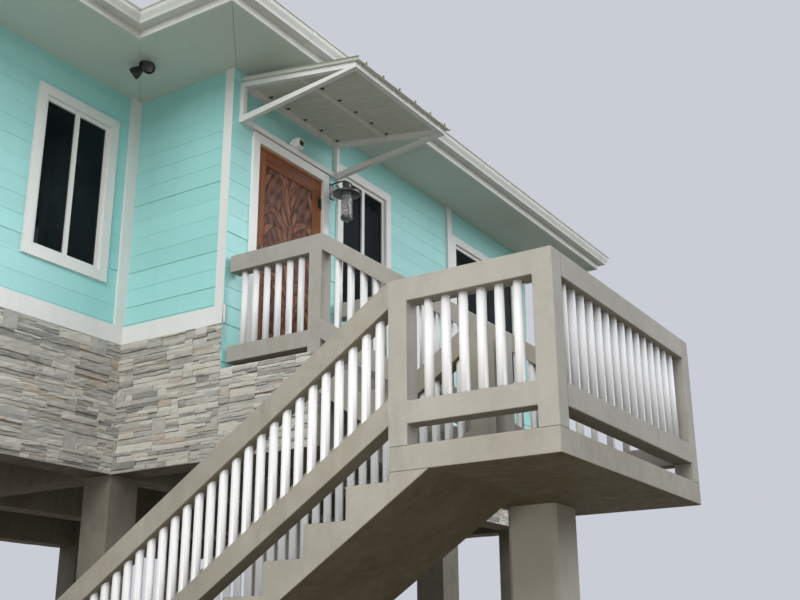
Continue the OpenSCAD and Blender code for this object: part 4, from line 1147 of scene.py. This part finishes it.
def wall_lights():
    """Sensor lamp over the door, and twin flood lamps under the soffit of the step."""
    (lamp_low, lamp_high), (low, high) = sorted(islands("wall_lights"), key=lambda b: b[0].x)
    body = Shape()
    mid = (low + high) / 2
    body.box((low.x + 0.030, low.y, low.z), (high.x - 0.030, -0.030, high.z))
    body.turn([(0.024, 0.0), (0.024, 0.012), (0.011, 0.018), (0.011, 0.034)],
              (mid.x, 0, mid.z), 20, axis=(0, -1, 0))
    body.turn([(0.016, -0.014), (0.020, -0.006), (0.020, 0.006), (0.016, 0.014)],
              (low.x + 0.018, -0.040, mid.z - 0.01), 20, axis=(1, 0, 0))
    body.piece("sensor_lamp", "white_plastic", "light_housing", bevel=0.004,
               replaces=("wall_lights",))
    blocks("sensor_face", "black_plastic", "dark_metal",
           [((low.x + 0.042, low.y - 0.001, low.z + 0.012),
             (high.x - 0.042, low.y, high.z - 0.018))], bevel=0.0004)
    lamps = (lamp_low + lamp_high) / 2
    lamps.z = SOFFIT_Z
    flood = Shape()
    flood.turn([(0.052, 0.0), (0.052, -0.012), (0.030, -0.022), (0.012, -0.026)], lamps, 28)
    for sign in (-1, 1):
        hinge = lamps + Vector((0, 0.030 * sign, -0.030))
        flood.tube([lamps + Vector((0, 0.02 * sign, -0.02)), hinge], 0.009, 12)
        aim = Vector((-0.45, 0.62 * sign, -0.64)).normalized()
        flood.turn([(0.020, -0.012), (0.030, -0.004), (0.033, 0.020), (0.041, 0.036),
                    (0.052, 0.070), (0.054, 0.086), (0.049, 0.086), (0.040, 0.066),
                    (0.010, 0.060)], hinge + aim * 0.012, 28, axis=aim)
    flood.piece("flood_lamps", "black_plastic", "dark_metal", smooth=40)


lantern()
wall_lights()

# Camera, light and floor

CAMERA_AT = (-7.172, -7.098, 1.605)
CAMERA_RIGHT = (0.5395, -0.8420, -0.0057)
CAMERA_UP = (-0.2702, -0.1795, 0.9459)
CAMERA_LENS = 49.54
CAMERA_SENSOR = 36.0
data = bpy.data.cameras.new("camera")
data.lens = CAMERA_LENS
data.sensor_width = CAMERA_SENSOR
data.clip_end = 200
camera = add_object("camera", data)
right, up = Vector(CAMERA_RIGHT).normalized(), Vector(CAMERA_UP).normalized()
camera.matrix_world = Matrix.Translation(CAMERA_AT) @ Matrix(
    (right, up, right.cross(up))).transposed().to_4x4()
bpy.context.scene.camera = camera
world = bpy.data.worlds.new("studio")
world.use_nodes = True
sky = world.node_tree.nodes["Background"].inputs
sky["Color"].default_value = (0.84, 0.87, 0.96, 1)
sky["Strength"].default_value = 0.70
bpy.context.scene.world = world
bpy.context.scene.view_settings.view_transform = "Standard"
for name, at, target, size, power, colour in (
        ("key_light", (-19, -9, 14), (0, 0, 4), 12, 2750, (1.0, 0.985, 0.96)),
        ("side_light", (9, -17, 11), (0, 0, 4), 12, 1700, (0.95, 0.98, 1.0)),
        ("eave_light", (-6, -5, 2.2), (-2, -1, 6.5), 2.5, 95, (1.0, 0.99, 0.95)),
        ("back_light", (4, 16, 14), (0, 0, 5), 12, 1500, (0.97, 0.98, 1.0))):
    data = bpy.data.lights.new(name, "AREA")
    data.size, data.energy, data.color = size, power, colour
    lamp = add_object(name, data)
    lamp.location = at
    lamp.rotation_euler = (Vector(target) - Vector(at)).to_track_quat("-Z", "Y").to_euler()

FLOOR_HALF = 120
FLOOR_GLOW = 0.36
floor_mesh = bpy.data.meshes.new("studio_floor")
floor_mesh.from_pydata([(x * FLOOR_HALF, y * FLOOR_HALF, -0.002)
                        for x, y in ((-1, -1), (1, -1), (1, 1), (-1, 1))], [], [(0, 1, 2, 3)])
floor = add_object("studio_floor", floor_mesh)
n = Nodes("studio_floor", 0.9)
# The floor looks pale but throws back less light, as the ground under a house does
path = n.tree.nodes.new("ShaderNodeLightPath").outputs
seen = n.math("MAXIMUM", path["Is Camera Ray"],
              n.math("MAXIMUM", path["Is Glossy Ray"], path["Is Transmission Ray"]))
pale = n.ramp(n.noise(0.4, 2), (0.3, 0.30), (0.7, 0.32))
n.fill(n.bsdf, Base_Color=n.mix(seen, (0.155, 0.138, 0.10), pale),
       Emission_Color=(0.97, 0.98, 1.0, 1),
       Emission_Strength=n.math("MULTIPLY", seen, FLOOR_GLOW))
floor_mesh.materials.append(n.mat)
